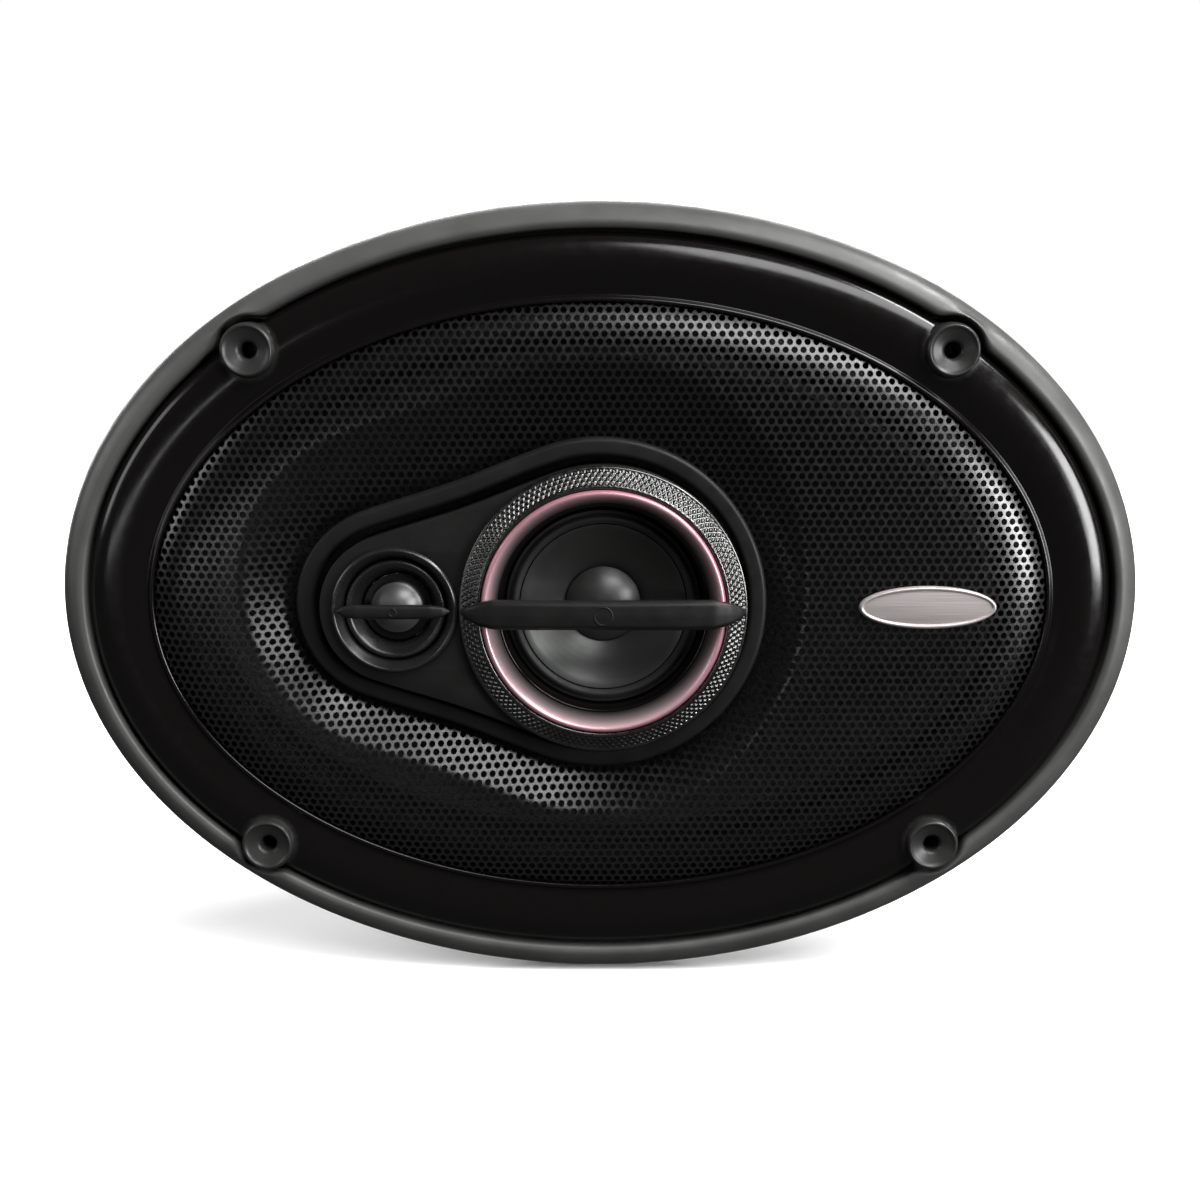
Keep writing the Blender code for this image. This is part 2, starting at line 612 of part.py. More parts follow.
def make_basket():
    """Stamped steel frame: flange, sloping wall with windows, spider ledge and rear cup."""
    skin = FLANGE_THICKNESS
    mouth = 21.5
    seat = PLATE_FRONT + GAP
    front = [on_oval(2.6, skin), on_oval(mouth + 1.0, skin), on_oval(mouth + 1.0, -2.4),
             on_circle(51.0, LEDGE_FORWARD + 5.0), on_circle(49.0, LEDGE_FORWARD),
             on_circle(CUP_RADIUS - skin, LEDGE_FORWARD), on_circle(CUP_RADIUS - skin - 0.5, seat + skin),
             on_circle(18.6, seat + skin)]
    back = [on_circle(18.6, seat), on_circle(CUP_RADIUS - 0.5, seat),
            on_circle(CUP_RADIUS, LEDGE_FORWARD - skin), on_circle(50.0, LEDGE_FORWARD - skin),
            on_circle(52.4, LEDGE_FORWARD + 4.6), on_oval(mouth - 0.4, -3.0), on_oval(mouth - 0.6, 0.0),
            on_oval(2.6, 0.0)]
    basket = lofted_ring("basket", front + back, OVAL_ANGLES, BLACK_STEEL)
    cut_windows(basket)
    for number, (x, z) in enumerate(SCREWS, 1):
        boolean(basket, round_cutter(f"flange_hole_{number}", 2.6, -2.0, 3.0, x, z), 'DIFFERENCE')
    for number, (x, z) in enumerate(rivet_places(), 1):
        hole = round_cutter(f"basket_rivet_hole_{number}", 2.3, seat - 1.0, seat + 3.0, x, z)
        boolean(basket, hole, 'DIFFERENCE')


WINDOW_COUNT = 8
WINDOW_WIDTH = 19.0
WINDOW_BACK = -30.0
WINDOW_FRONT = -8.0


def cut_windows(basket):
    """Eight openings round the basket's wall."""
    for number in range(WINDOW_COUNT):
        bpy.ops.mesh.primitive_cube_add(size=1.0)
        cutter = bpy.context.active_object
        cutter.name = f"window_{number + 1}"
        for owner in list(cutter.users_collection):
            owner.objects.unlink(cutter)
        as_cutter(cutter)
        reach = 90.0
        angle = math.tau * number / WINDOW_COUNT
        size = Vector((reach, WINDOW_FRONT - WINDOW_BACK, WINDOW_WIDTH)) * MM
        for vertex in cutter.data.vertices:
            vertex.co = Vector(a * b for a, b in zip(vertex.co, size))
        centre = 40.0 + reach / 2.0
        cutter.location = place(centre * math.cos(angle), (WINDOW_FRONT + WINDOW_BACK) / 2.0,
                                centre * math.sin(angle))
        cutter.rotation_euler = (0.0, -angle, 0.0)
        boolean(basket, cutter, 'DIFFERENCE')


def rivet_places():
    """Four places on the rivet circle, on the diagonals."""
    angles = [math.tau * (i + 0.5) / 4.0 for i in range(4)]
    return [(RIVET_CIRCLE * math.cos(a), RIVET_CIRCLE * math.sin(a)) for a in angles]


def make_woofer_front():
    """Cone, its surround and the gasket on the surround's edge."""
    seat = FLANGE_THICKNESS + GAP
    edge = 17.6
    lofted_ring("surround_gasket", [on_oval(edge, 2.4), on_oval(edge, 4.6), on_oval(20.6, 4.6),
                                    on_oval(20.6, 2.4)], OVAL_ANGLES, RUBBER)
    roll_centre = 25.5
    roll_radius = 4.5
    outer_roll = [(roll_centre - roll_radius * math.cos(a), seat + 0.6 + 3.8 * math.sin(a))
                  for a in arc_angles(0.0, math.pi, 4)]
    inner_roll = [(roll_centre - (roll_radius - 0.6) * math.cos(a), seat + 0.2 + 3.6 * math.sin(a))
                  for a in arc_angles(math.pi, 0.0, 4)]
    section = [(edge, seat), (edge, seat + 0.6), *outer_roll, (33.2, seat + 0.6), (33.2, seat), *inner_roll]
    lofted_ring("woofer_surround", [on_oval(*p) for p in section], OVAL_ANGLES, RUBBER)
    rim = seat - GAP
    neck = CONE_NECK_FORWARD
    curve = between(on_oval(CONE_RIM_INSET + 3.0, rim), on_circle(CONE_NECK_RADIUS, neck), 0.5)
    front = [on_oval(CONE_RIM_INSET, rim), on_oval(CONE_RIM_INSET + 3.0, rim), lowered(curve, 2.2),
             on_circle(CONE_NECK_RADIUS, neck)]
    back = [on_circle(CONE_NECK_RADIUS, neck - 1.4),
            lowered(between(on_oval(CONE_RIM_INSET + 2.4, rim), on_circle(CONE_NECK_RADIUS + 0.3, neck), 0.5), 3.1),
            on_oval(CONE_RIM_INSET + 2.4, rim - 0.8), on_oval(CONE_RIM_INSET, rim - 0.8)]
    lofted_ring("woofer_cone", front + back, OVAL_ANGLES, CONE_PAPER, WOOFER_AXIS)


def make_woofer_coil():
    """Voice coil former, its winding and the spider."""
    turned("voice_coil_former", [(COIL_OUTER_RADIUS, -33.0), (COIL_OUTER_RADIUS, -62.0),
                                 (COIL_INNER_RADIUS, -62.0), (COIL_INNER_RADIUS, -33.0)],
           KAPTON, parent=WOOFER_AXIS)
    turned("voice_coil_winding", [(17.4, -48.5), (17.4, -60.5), (16.7, -60.5), (16.7, -48.5)],
           COPPER, parent=WOOFER_AXIS)
    inner = 16.7
    outer = CUP_RADIUS + 3.6
    first_wave = 20.0
    last_wave = 42.0
    waves = 3
    steps = waves * 4
    level = LEDGE_FORWARD + GAP
    wave_points = []
    for i in range(steps + 1):
        radius = first_wave + (last_wave - first_wave) * i / steps
        wave_points.append((radius, level + 0.8 - 0.8 * math.cos(math.tau * i / 4.0)))
    upper = [(inner, level + 0.6), *[(r, f + 0.6) for r, f in wave_points], (outer, level + 0.6)]
    lower = [(outer, level), *wave_points[::-1], (inner, level)]
    turned("spider", upper + lower, SPIDER_CLOTH, SMALL_STEPS)


def make_woofer_motor():
    """Top plate, ferrite ring, pole and yoke, and the rubber boot over the magnet."""
    plate = turned("top_plate", [(PLATE_RADIUS, PLATE_FRONT), (PLATE_RADIUS, PLATE_BACK),
                                 (18.1, PLATE_BACK), (18.1, PLATE_FRONT)], ZINC)
    for number, (x, z) in enumerate(rivet_places(), 1):
        cutter = round_cutter(f"plate_rivet_hole_{number}", 2.3, PLATE_BACK - 1.0, PLATE_FRONT + 1.0, x, z)
        boolean(plate, cutter, 'DIFFERENCE')
        head = PLATE_FRONT + GAP + FLANGE_THICKNESS + GAP
        turned(f"basket_rivet_{number}", [(0.0, head + 1.4), (2.4, head + 1.1), (3.6, head), (2.0, head),
                                          (2.0, PLATE_BACK + GAP), (0.0, PLATE_BACK + GAP)],
               TINNED, TINY_STEPS, centre=(x, z))
    magnet_front = PLATE_BACK - GAP
    yoke_front = MAGNET_BACK - GAP
    turned("ferrite_magnet", [(MAGNET_RADIUS, magnet_front), (MAGNET_RADIUS, MAGNET_BACK),
                              (21.0, MAGNET_BACK), (21.0, magnet_front)], FERRITE)
    yoke_radius = 46.0
    turned("pole_yoke", [(POLE_RADIUS, POLE_FRONT), (POLE_RADIUS, yoke_front), (yoke_radius, yoke_front),
                         (yoke_radius, YOKE_BACK + 0.8), (yoke_radius - 0.8, YOKE_BACK),
                         (2.8, YOKE_BACK), (2.8, POLE_FRONT)], ZINC)
    boot_inner = MAGNET_RADIUS + GAP
    boot_outer = boot_inner + 1.9
    boot_back = YOKE_BACK - 2.2
    turned("magnet_boot", [(boot_inner, magnet_front - 1.0), (boot_outer - 0.6, magnet_front - 1.0),
                           (boot_outer, magnet_front - 1.8), (boot_outer, boot_back + 3.0),
                           (boot_outer - 3.0, boot_back), (30.0, boot_back), (30.0, YOKE_BACK - GAP),
                           (boot_inner - 1.5, YOKE_BACK - GAP), (boot_inner, YOKE_BACK + 1.4)], RUBBER)


# ---------------------------------------------------------------- connection

BOARD_BACK = -45.8
BOARD_FRONT = LEDGE_FORWARD - FLANGE_THICKNESS - GAP
BOARD_X = 16.0
BOARD_TOP = -45.4
BOARD_BOTTOM = -63.0
BOARD_RIVET_X = 12.0
BOARD_RIVET_Z = -58.0


def make_terminals():
    """Fibre board behind the basket's ledge with two tabs and two capacitors."""
    outline = [(-BOARD_X, BOARD_TOP), (BOARD_X, BOARD_TOP), (BOARD_X, BOARD_BOTTOM + 2.0),
               (BOARD_X - 2.0, BOARD_BOTTOM), (2.0 - BOARD_X, BOARD_BOTTOM), (-BOARD_X, BOARD_BOTTOM + 2.0)]
    hole_radius = 1.5
    holes = [circle(hole_radius, TINY_STEPS, x, BOARD_RIVET_Z) for x in (-BOARD_RIVET_X, BOARD_RIVET_X)]
    flat_plate("terminal_board", [outline, *holes], BOARD_BACK, BOARD_FRONT, FIBRE_BOARD)
    for name, x, half_width in (("terminal_positive", BOARD_RIVET_X, 3.15),
                                ("terminal_negative", -BOARD_RIVET_X, 2.4)):
        behind = BOARD_BACK - GAP
        tab = [(x - half_width, -54.0), (x + half_width, -54.0), (x + half_width, -72.0),
               (x + half_width - 1.0, -73.5), (x - half_width + 1.0, -73.5), (x - half_width, -72.0)]
        flat_plate(name, [tab, circle(hole_radius, TINY_STEPS, x, BOARD_RIVET_Z)], behind - 0.8, behind, TINNED)
    for number, x in enumerate((-BOARD_RIVET_X, BOARD_RIVET_X), 1):
        behind = BOARD_BACK - GAP - 0.8 - GAP
        ahead = BOARD_FRONT + GAP
        turned(f"board_rivet_{number}", [(0.0, ahead + 0.6), (2.2, ahead + 0.4), (2.2, ahead), (1.2, ahead),
                                         (1.2, behind), (2.3, behind), (2.0, behind - 0.8),
                                         (0.0, behind - 0.8)], TINNED, TINY_STEPS, centre=(x, BOARD_RIVET_Z))
    make_capacitor("capacitor_mid", 4.0, 15.0, -50.0)
    make_capacitor("capacitor_tweeter", 2.5, 11.0, -57.5)


def make_capacitor(name, radius, length, z):
    """Small sleeved capacitor lying across the back of the board."""
    chamfer = 0.5
    half = length / 2.0
    capacitor = turned_mesh(name, [(0.0, half), (radius - chamfer, half), (radius, half - chamfer),
                                   (radius, chamfer - half), (radius - chamfer, -half), (0.0, -half)],
                            TINY_STEPS)
    capacitor.rotation_euler = (0.0, math.pi / 2.0, 0.0)
    capacitor.location = place(0.0, BOARD_BACK - GAP - radius, z)
    finish(capacitor, BLUE_SLEEVE)


def make_leads():
    """Flexible leads: two from the terminals through a window to the cone, one up to the pod."""
    radius = 0.7
    for number, side_sign in enumerate((-1.0, 1.0), 1):
        x = side_sign * 7.0
        route = [(x, -42.4, -56.5), (x, -38.0, -59.6), (x, -29.0, -61.0), (x, -21.0, -57.5),
                 (x, -18.5, -50.0), (x, -22.0, -43.0), (x, -25.5, -38.5)]
        wire(f"tinsel_lead_{number}", route, radius, COPPER)
    pod_route = [(5.0, -25.0, -23.5), (5.0, -21.0, -25.5), (5.0, -14.0, -27.0), (5.0, -8.0, -26.8),
                 (5.0, -4.1, -25.6)]
    wire("pod_feed_lead", pod_route, radius, RUBBER)


make_outer_trim_ring()
make_grille_bezel()
make_grille_mesh()
make_badge_plate()
make_pod_ring()
make_pod_housing()
make_pod_baffle()
make_midrange()
make_mid_bridge_bar()
make_tweeter()
make_post()
make_basket()
make_woofer_front()
make_woofer_coil()
make_woofer_motor()
make_terminals()
make_leads()
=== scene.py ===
"""Looks of the three-way oval coaxial car speaker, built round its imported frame.

Sizes are in millimetres and places are (x, forward, z), as in part.py: forward is the
distance in front of the mounting plane, which is world -Y.
"""

import math

import bmesh
import bpy
import numpy as np
from mathutils import Matrix, Vector, kdtree


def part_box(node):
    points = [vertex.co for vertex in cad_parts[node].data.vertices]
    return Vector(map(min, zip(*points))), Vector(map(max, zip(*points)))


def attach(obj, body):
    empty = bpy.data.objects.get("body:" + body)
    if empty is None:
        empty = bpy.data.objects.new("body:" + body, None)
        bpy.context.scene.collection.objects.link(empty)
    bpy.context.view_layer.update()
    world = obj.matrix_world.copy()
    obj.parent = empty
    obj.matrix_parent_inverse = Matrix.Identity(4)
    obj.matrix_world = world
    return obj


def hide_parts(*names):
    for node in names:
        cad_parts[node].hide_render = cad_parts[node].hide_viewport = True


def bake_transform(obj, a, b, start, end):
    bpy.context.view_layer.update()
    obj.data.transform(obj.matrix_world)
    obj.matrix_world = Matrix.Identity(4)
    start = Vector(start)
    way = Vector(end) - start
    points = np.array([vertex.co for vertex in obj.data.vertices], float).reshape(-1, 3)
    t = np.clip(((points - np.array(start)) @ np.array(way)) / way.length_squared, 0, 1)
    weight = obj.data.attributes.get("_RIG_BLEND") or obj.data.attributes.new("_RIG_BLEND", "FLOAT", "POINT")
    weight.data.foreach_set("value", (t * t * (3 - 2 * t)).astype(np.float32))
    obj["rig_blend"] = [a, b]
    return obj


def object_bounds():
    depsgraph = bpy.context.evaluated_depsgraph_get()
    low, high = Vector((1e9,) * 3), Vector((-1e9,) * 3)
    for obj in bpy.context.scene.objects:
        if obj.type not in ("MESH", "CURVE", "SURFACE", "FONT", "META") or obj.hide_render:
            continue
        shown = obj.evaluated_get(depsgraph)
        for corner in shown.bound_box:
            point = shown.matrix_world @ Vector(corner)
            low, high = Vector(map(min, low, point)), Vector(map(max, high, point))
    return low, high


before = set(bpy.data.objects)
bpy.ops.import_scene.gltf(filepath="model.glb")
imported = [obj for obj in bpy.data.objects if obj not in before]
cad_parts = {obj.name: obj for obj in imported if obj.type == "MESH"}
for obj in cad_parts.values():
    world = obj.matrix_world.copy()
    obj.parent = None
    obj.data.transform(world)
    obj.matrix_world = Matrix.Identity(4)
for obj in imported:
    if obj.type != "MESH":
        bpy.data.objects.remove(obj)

MM = 0.001
CAD_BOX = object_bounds()
AXIS = (0.0, 0.0)


def at(x, forward, z):
    """World position in metres."""
    return Vector((x, -forward, z)) * MM


def node_size(node, axis):
    """Half the width of a centred CAD node along one axis."""
    low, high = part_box(node)
    return (high[axis] - low[axis]) / 2.0 / MM


def node_front(node):
    """Forward position of a CAD node's front."""
    return -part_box(node)[0].y / MM


def node_back(node):
    """Forward position of a CAD node's back."""
    return -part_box(node)[1].y / MM


# Counts of steps round a turn
OVAL_STEPS = 480
ROUND_STEPS = 160
SMALL_STEPS = 96

# Outer oval and mounting
OVAL_HALF_WIDTH = node_size("outer_trim_ring", 0)
OVAL_HALF_HEIGHT = node_size("outer_trim_ring", 2)
SCREW_X = 74.5
SCREW_Z = 54.5
SCREWS = [(sx * SCREW_X, sz * SCREW_Z) for sz in (1, -1) for sx in (-1, 1)]
SCREW_HOLE_RADIUS = 2.1
SCALLOP_RADIUS = 7.4
FLANGE = 1.2
TRIM_WIDTH = 6.2
TRIM_FRONT = node_front("outer_trim_ring")
BEZEL_OUTER = 6.8
BEZEL_INNER = 21.4
BOSS_FRONT = node_front("grille_bezel")

# Perforated grille
HOLE_PITCH = 1.91
HOLE_RADIUS = 0.72
MESH_SHEET = 0.6
MESH_POD_FORWARD = 5.2
MESH_CREST_FORWARD = 11.1
FAN_X = -14.0

# Pod
RING_BIG = 36.3
RING_SMALL = 21.4
RING_BAND = 4.0
RING_FRONT = node_front("pod_ring")
RING_BACK = node_back("pod_ring")
LOBE_DISTANCE = 44.7
WAIST_SAG = 0.6
POD_BIG = 31.0
POD_SMALL = 16.2
POD_WALL = 1.6
POD_BACK = -3.0
CAN_RADIUS = 22.0
CAN_BACK = node_back("pod_housing")
BAFFLE_BACK = 11.6
BAFFLE_FRONT = node_front("pod_baffle")
ON_PLATE = BAFFLE_FRONT + 0.3
MID = (0.7, -0.4)
TWEETER = (-44.1, -0.4)
POD_DISTANCE = MID[0] - TWEETER[0]

# Woofer and motor
SURROUND_SEAT = 1.5
CONE_NECK_RADIUS = 16.8
CONE_NECK = -35.0
LEDGE = -42.6
CUP_RADIUS = 44.6
PLATE_FRONT = node_front("top_plate")
PLATE_BACK = node_back("top_plate")
CUP_SEAT = PLATE_FRONT + 0.3
MAGNET_BACK = node_back("ferrite_magnet")
YOKE_BACK = node_back("pole_yoke")
BOOT_BACK = node_back("magnet_boot")
BOARD_BACK = node_back("terminal_board")
BOARD_FRONT = node_front("terminal_board")
RIVET_CIRCLE = 32.0
WINDOW_COUNT = 8


# Mesh helpers

def soften(points, size, closed=True, steps=4, axes=2):
    """Replace each corner of a line of points with a small curve.

    A point with one number more than the axes gives that corner a size of its own.
    """
    places = [Vector(p[:axes]) for p in points]
    made = []
    for i, (corner, point) in enumerate(zip(places, points)):
        if not closed and i in (0, len(places) - 1):
            made.append(corner)
            continue
        reach = point[axes] if len(point) > axes else size
        before = places[i - 1] - corner
        after = places[(i + 1) % len(places)] - corner
        start = corner + before.normalized() * min(reach, before.length * 0.49)
        end = corner + after.normalized() * min(reach, after.length * 0.49)
        for step in range(steps + 1):
            t = step / steps
            made.append(start * (1 - t) ** 2 + corner * 2 * t * (1 - t) + end * t * t)
    return made


def turn(steps):
    """Evenly spaced angles once round."""
    return [math.tau * i / steps for i in range(steps)]


def around(centre, radius, angle):
    """(x, z) at a distance and an angle from a front-back axis."""
    return centre[0] + radius * math.cos(angle), centre[1] + radius * math.sin(angle)


def at_ring(centre, radius, angle, forward):
    """World position at a distance and an angle from a front-back axis."""
    x, z = around(centre, radius, angle)
    return at(x, forward, z)


def linked(name, data):
    """A new object in the scene."""
    obj = bpy.data.objects.new(name, data)
    bpy.context.scene.collection.objects.link(obj)
    return obj


def taken_from(*objects):
    """Mesh of the first object with its modifiers; the objects themselves are removed."""
    bpy.context.view_layer.update()
    mesh = bpy.data.meshes.new_from_object(objects[0].evaluated_get(bpy.context.evaluated_depsgraph_get()))
    for obj in objects:
        bpy.data.objects.remove(obj, do_unlink=True)
    return mesh


def shaded(mesh, sharp):
    """The mesh with smooth shading, and sharp edges above an angle in degrees."""
    mesh.shade_smooth()
    mesh.set_sharp_from_angle(angle=math.radians(sharp))
    return mesh


def mesh_from(name, points, faces):
    """A plain mesh from points in metres."""
    mesh = bpy.data.meshes.new(name)
    mesh.from_pydata([tuple(p) for p in points], [], faces)
    return mesh


def welded(mesh, reach, sliver=0.0):
    """The mesh with close points welded, slivers dissolved and its normals outward."""
    bm = bmesh.new()
    bm.from_mesh(mesh)
    bmesh.ops.remove_doubles(bm, verts=bm.verts, dist=reach)
    if sliver:
        bmesh.ops.dissolve_degenerate(bm, edges=bm.edges, dist=sliver)
    bmesh.ops.recalc_face_normals(bm, faces=bm.faces)
    bm.to_mesh(mesh)
    bm.free()
    return mesh


def skin(rows, closed_rows=True, closed_columns=True, sharp=35.0, caps=()):
    """Mesh of quads between neighbouring rows of points."""
    columns = len(rows[0])
    faces = []
    for i in range(len(rows) if closed_rows else len(rows) - 1):
        here = i * columns
        there = (i + 1) % len(rows) * columns
        for j in range(columns if closed_columns else columns - 1):
            k = (j + 1) % columns
            faces.append((here + j, here + k, there + k, there + j))
    mesh = mesh_from("skin", [p for row in rows for p in row], [*faces, *caps])
    return shaded(welded(mesh, 1e-7, 1e-8), sharp)


def loft(sections, closed=True, sharp=35.0):
    """Mesh through closed sections. An open loft gets a cap at each end."""
    columns = len(sections[0])
    last = (len(sections) - 1) * columns
    caps = [] if closed else [tuple(range(columns)), tuple(range(last, last + columns))]
    return skin(sections, closed_rows=closed, sharp=sharp, caps=caps)


def lathe(profile, centre=AXIS, steps=ROUND_STEPS, size=0.3, bend=4):
    """Mesh turned about a front-back axis from a (radius, forward) profile."""
    on_axis = profile[0][0] == 0.0 and profile[-1][0] == 0.0
    section = soften(profile, size, closed=not on_axis, steps=bend)
    return skin([[at_ring(centre, r, angle, f) for r, f in section] for angle in turn(steps)],
                closed_columns=not on_axis)


def plate(outlines, back, front, edge=0.25):
    """Flat mesh cut to closed (x, z) outlines, with rounded edges; inner outlines are holes."""
    curve = bpy.data.curves.new("plate", 'CURVE')
    curve.dimensions = '2D'
    curve.fill_mode = 'BOTH'
    curve.bevel_depth = edge * MM
    curve.bevel_resolution = 2
    curve.offset = -edge * MM
    curve.extrude = ((front - back) / 2.0 - edge) * MM
    for outline in outlines:
        spline = curve.splines.new('POLY')
        spline.points.add(len(outline) - 1)
        for point, (x, z) in zip(spline.points, outline):
            point.co = (x * MM, z * MM, 0.0, 1.0)
        spline.use_cyclic_u = True
    mesh = taken_from(linked("plate", curve))
    mesh.transform(Matrix.Rotation(math.pi / 2.0, 4, 'X'))
    mesh.transform(Matrix.Translation(at(0.0, (back + front) / 2.0, 0.0)))
    return shaded(welded(mesh, 1e-6), 30.0)


def tube(path, radius, sides=12):
    """Round tube along points given in millimetres, and each vertex's share of the way."""
    points = [at(*p) for p in path]
    sections = []
    shares = []
    for i, point in enumerate(points):
        along = (points[min(i + 1, len(points) - 1)] - points[max(i - 1, 0)]).normalized()
        side = along.cross(Vector((1.0, 0.0, 0.0))).normalized()
        up = side.cross(along)
        sections.append([point + (side * math.cos(a) + up * math.sin(a)) * radius * MM for a in turn(sides)])
        shares += [i / (len(points) - 1)] * sides
    return loft(sections, closed=False), shares


def smooth_route(knots, per_span=8):
    """Points of a Catmull-Rom curve through the knots."""
    knots = [Vector(k) for k in knots]
    padded = [2.0 * knots[0] - knots[1], *knots, 2.0 * knots[-1] - knots[-2]]
    points = []
    for a, b, c, d in zip(padded, padded[1:], padded[2:], padded[3:]):
        for step in range(per_span):
            t = step / per_span
            cubic = (3.0 * b - 3.0 * c + d - a) * t ** 3
            points.append((2.0 * b + (c - a) * t + (2.0 * a - 5.0 * b + 4.0 * c - d) * t * t + cubic) / 2.0)
    points.append(knots[-1])
    return points


def joined(meshes):
    """One mesh made of several."""
    bm = bmesh.new()
    for mesh in meshes:
        bm.from_mesh(mesh)
    made = bpy.data.meshes.new("joined")
    bm.to_mesh(made)
    bm.free()
    return made


def cut(mesh, cutters):
    """The mesh with the cutter meshes taken out of it."""
    target = linked("target", mesh)
    helper = linked("helper", joined(cutters))
    modifier = target.modifiers.new("cut", 'BOOLEAN')
    modifier.operation = 'DIFFERENCE'
    modifier.object = helper
    modifier.solver = 'EXACT'
    return shaded(taken_from(target, helper), 32.0)


def detail(node, mesh, look):
    """Object that holds a node's detailed mesh in its look."""
    mesh.name = node
    mesh.materials.clear()
    mesh.materials.append(look.material)
    return linked(node + "_detail", mesh)


def piece(node, mesh, look, body="frame"):
    """A detailed piece that stands for a CAD node."""
    obj = detail(node, mesh, look)
    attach(obj, body)
    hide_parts(node)


def soft_piece(node, mesh, look, body, weights):
    """A flexible piece between the frame and a moving body, with a weight for each vertex."""
    obj = detail(node, mesh, look)
    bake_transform(obj, "frame", body, (0.0, 0.0, 0.0), (0.0, 0.1, 0.0))
    eased = [w * w * (3.0 - 2.0 * w) for w in (min(max(w, 0.0), 1.0) for w in weights)]
    mesh.attributes["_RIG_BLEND"].data.foreach_set("value", np.array(eased, np.float32))
    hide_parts(node)


# Outlines

def oval_point(angle, inset=0.0):
    """(x, z) on the outer oval moved inward along its normal."""
    x = OVAL_HALF_WIDTH * math.cos(angle)
    z = OVAL_HALF_HEIGHT * math.sin(angle)
    normal = Vector((math.cos(angle) / OVAL_HALF_WIDTH, math.sin(angle) / OVAL_HALF_HEIGHT)).normalized()
    return x - inset * normal.x, z - inset * normal.y


def at_oval(angle, inset, forward):
    """World position on the oval at an inset."""
    x, z = oval_point(angle, inset)
    return at(x, forward, z)


def even_oval_angles(steps):
    """Angles that space points evenly round the oval."""
    fine = np.linspace(0.0, math.tau, 4001)
    x = OVAL_HALF_WIDTH * np.cos(fine)
    z = OVAL_HALF_HEIGHT * np.sin(fine)
    length = np.concatenate([[0.0], np.cumsum(np.hypot(np.diff(x), np.diff(z)))])
    return list(np.interp(np.arange(steps) * length[-1] / steps, length, fine))


def oval_tree():
    """Closely spaced points of the outer oval, to find distances from it."""
    samples = [oval_point(a) for a in even_oval_angles(4000)]
    tree = kdtree.KDTree(len(samples))
    for i, (x, z) in enumerate(samples):
        tree.insert((x, z, 0.0), i)
    tree.balance()
    return tree


OVAL_TREE = oval_tree()


def oval_insets(points):
    """Distance inward from the outer oval of each (x, z) point."""
    return np.array([OVAL_TREE.find((x, z, 0.0))[2] for x, z in points])


def oval_ring(section, angles):
    """Mesh round the oval from an (inset, forward) section."""
    return loft([[at_oval(angle, *point) for point in section] for angle in angles])


def pear(big_radius, small_radius, distance=LOBE_DISTANCE, big_steps=150, small_steps=70, side_steps=60):
    """Pear outline: a big lobe at the origin, a small one at -X, and nearly straight sides."""
    lean = math.asin((big_radius - small_radius) / distance)
    tangent = math.pi / 2.0 + lean
    big = [(big_radius * math.cos(a), big_radius * math.sin(a))
           for a in np.linspace(-tangent, tangent, big_steps)]
    small = [(small_radius * math.cos(a) - distance, small_radius * math.sin(a))
             for a in np.linspace(tangent, math.tau - tangent, small_steps)]
    upper = pear_side(big[-1], small[0], side_steps)
    lower = pear_side(small[-1], big[0], side_steps)
    return big + upper + small + lower


def pear_side(start, end, steps):
    """Inner points of a pear's side, pulled in at the middle."""
    a = Vector(start)
    b = Vector(end)
    along = (b - a).normalized()
    inward = Vector((-along.y, along.x))
    shares = [i / steps for i in range(1, steps)]
    return [tuple(a.lerp(b, s) + inward * WAIST_SAG * math.sin(math.pi * s) ** 2) for s in shares]


def recess_outline():
    """Egg-shaped outer edge of the grille's recess round the pod."""
    outline = pear(RING_BIG, RING_SMALL)
    moved = []
    for before, point, after in zip(outline[-1:] + outline, outline, outline[1:] + outline[:1]):
        along = (Vector(after) - Vector(before)).normalized()
        normal = Vector((along.y, -along.x))
        width = 9.5 + 3.25 * normal.y - 1.5 * normal.x + 4.25 * normal.y ** 2
        moved.append(tuple(Vector(point) + normal * width))
    return moved


def fan(points):
    """Angles and lengths of (x, z) points seen from the fan point."""
    x, z = np.array(points).T
    return np.arctan2(z, x - FAN_X), np.hypot(z, x - FAN_X)


def reach_table(outline):
    """Sorted angles and lengths of an outline seen from the fan point."""
    angles, lengths = fan(outline)
    order = np.argsort(angles)
    return angles[order], lengths[order]


def smallest(a, b, width):
    """The smaller of two arrays, with a rounded change from one to the other."""
    share = np.clip(0.5 + 0.5 * (b - a) / width, 0.0, 1.0)
    return b * (1 - share) + a * share - width * share * (1 - share)


# Materials

class Nodes:
    """Shader nodes added to a tree."""

    def __init__(self, tree):
        self.tree = tree

    def feed(self, socket, value):
        """Give an input its number, or a link from another socket."""
        if isinstance(value, bpy.types.NodeSocket):
            self.tree.links.new(value, socket)
        else:
            socket.default_value = value

    def add(self, kind, inputs=None, **settings):
        """A new node with its inputs and settings."""
        node = self.tree.nodes.new(kind)
        for setting, value in settings.items():
            setattr(node, setting, value)
        for socket, value in (inputs or {}).items():
            self.feed(node.inputs[socket], value)
        return node

    def range(self, value, low, high, start=0.0, end=1.0):
        """The value mapped from start-end to low-high."""
        return self.add('ShaderNodeMapRange', {"Value": value, "From Min": start, "From Max": end,
                                               "To Min": low, "To Max": high}).outputs["Result"]


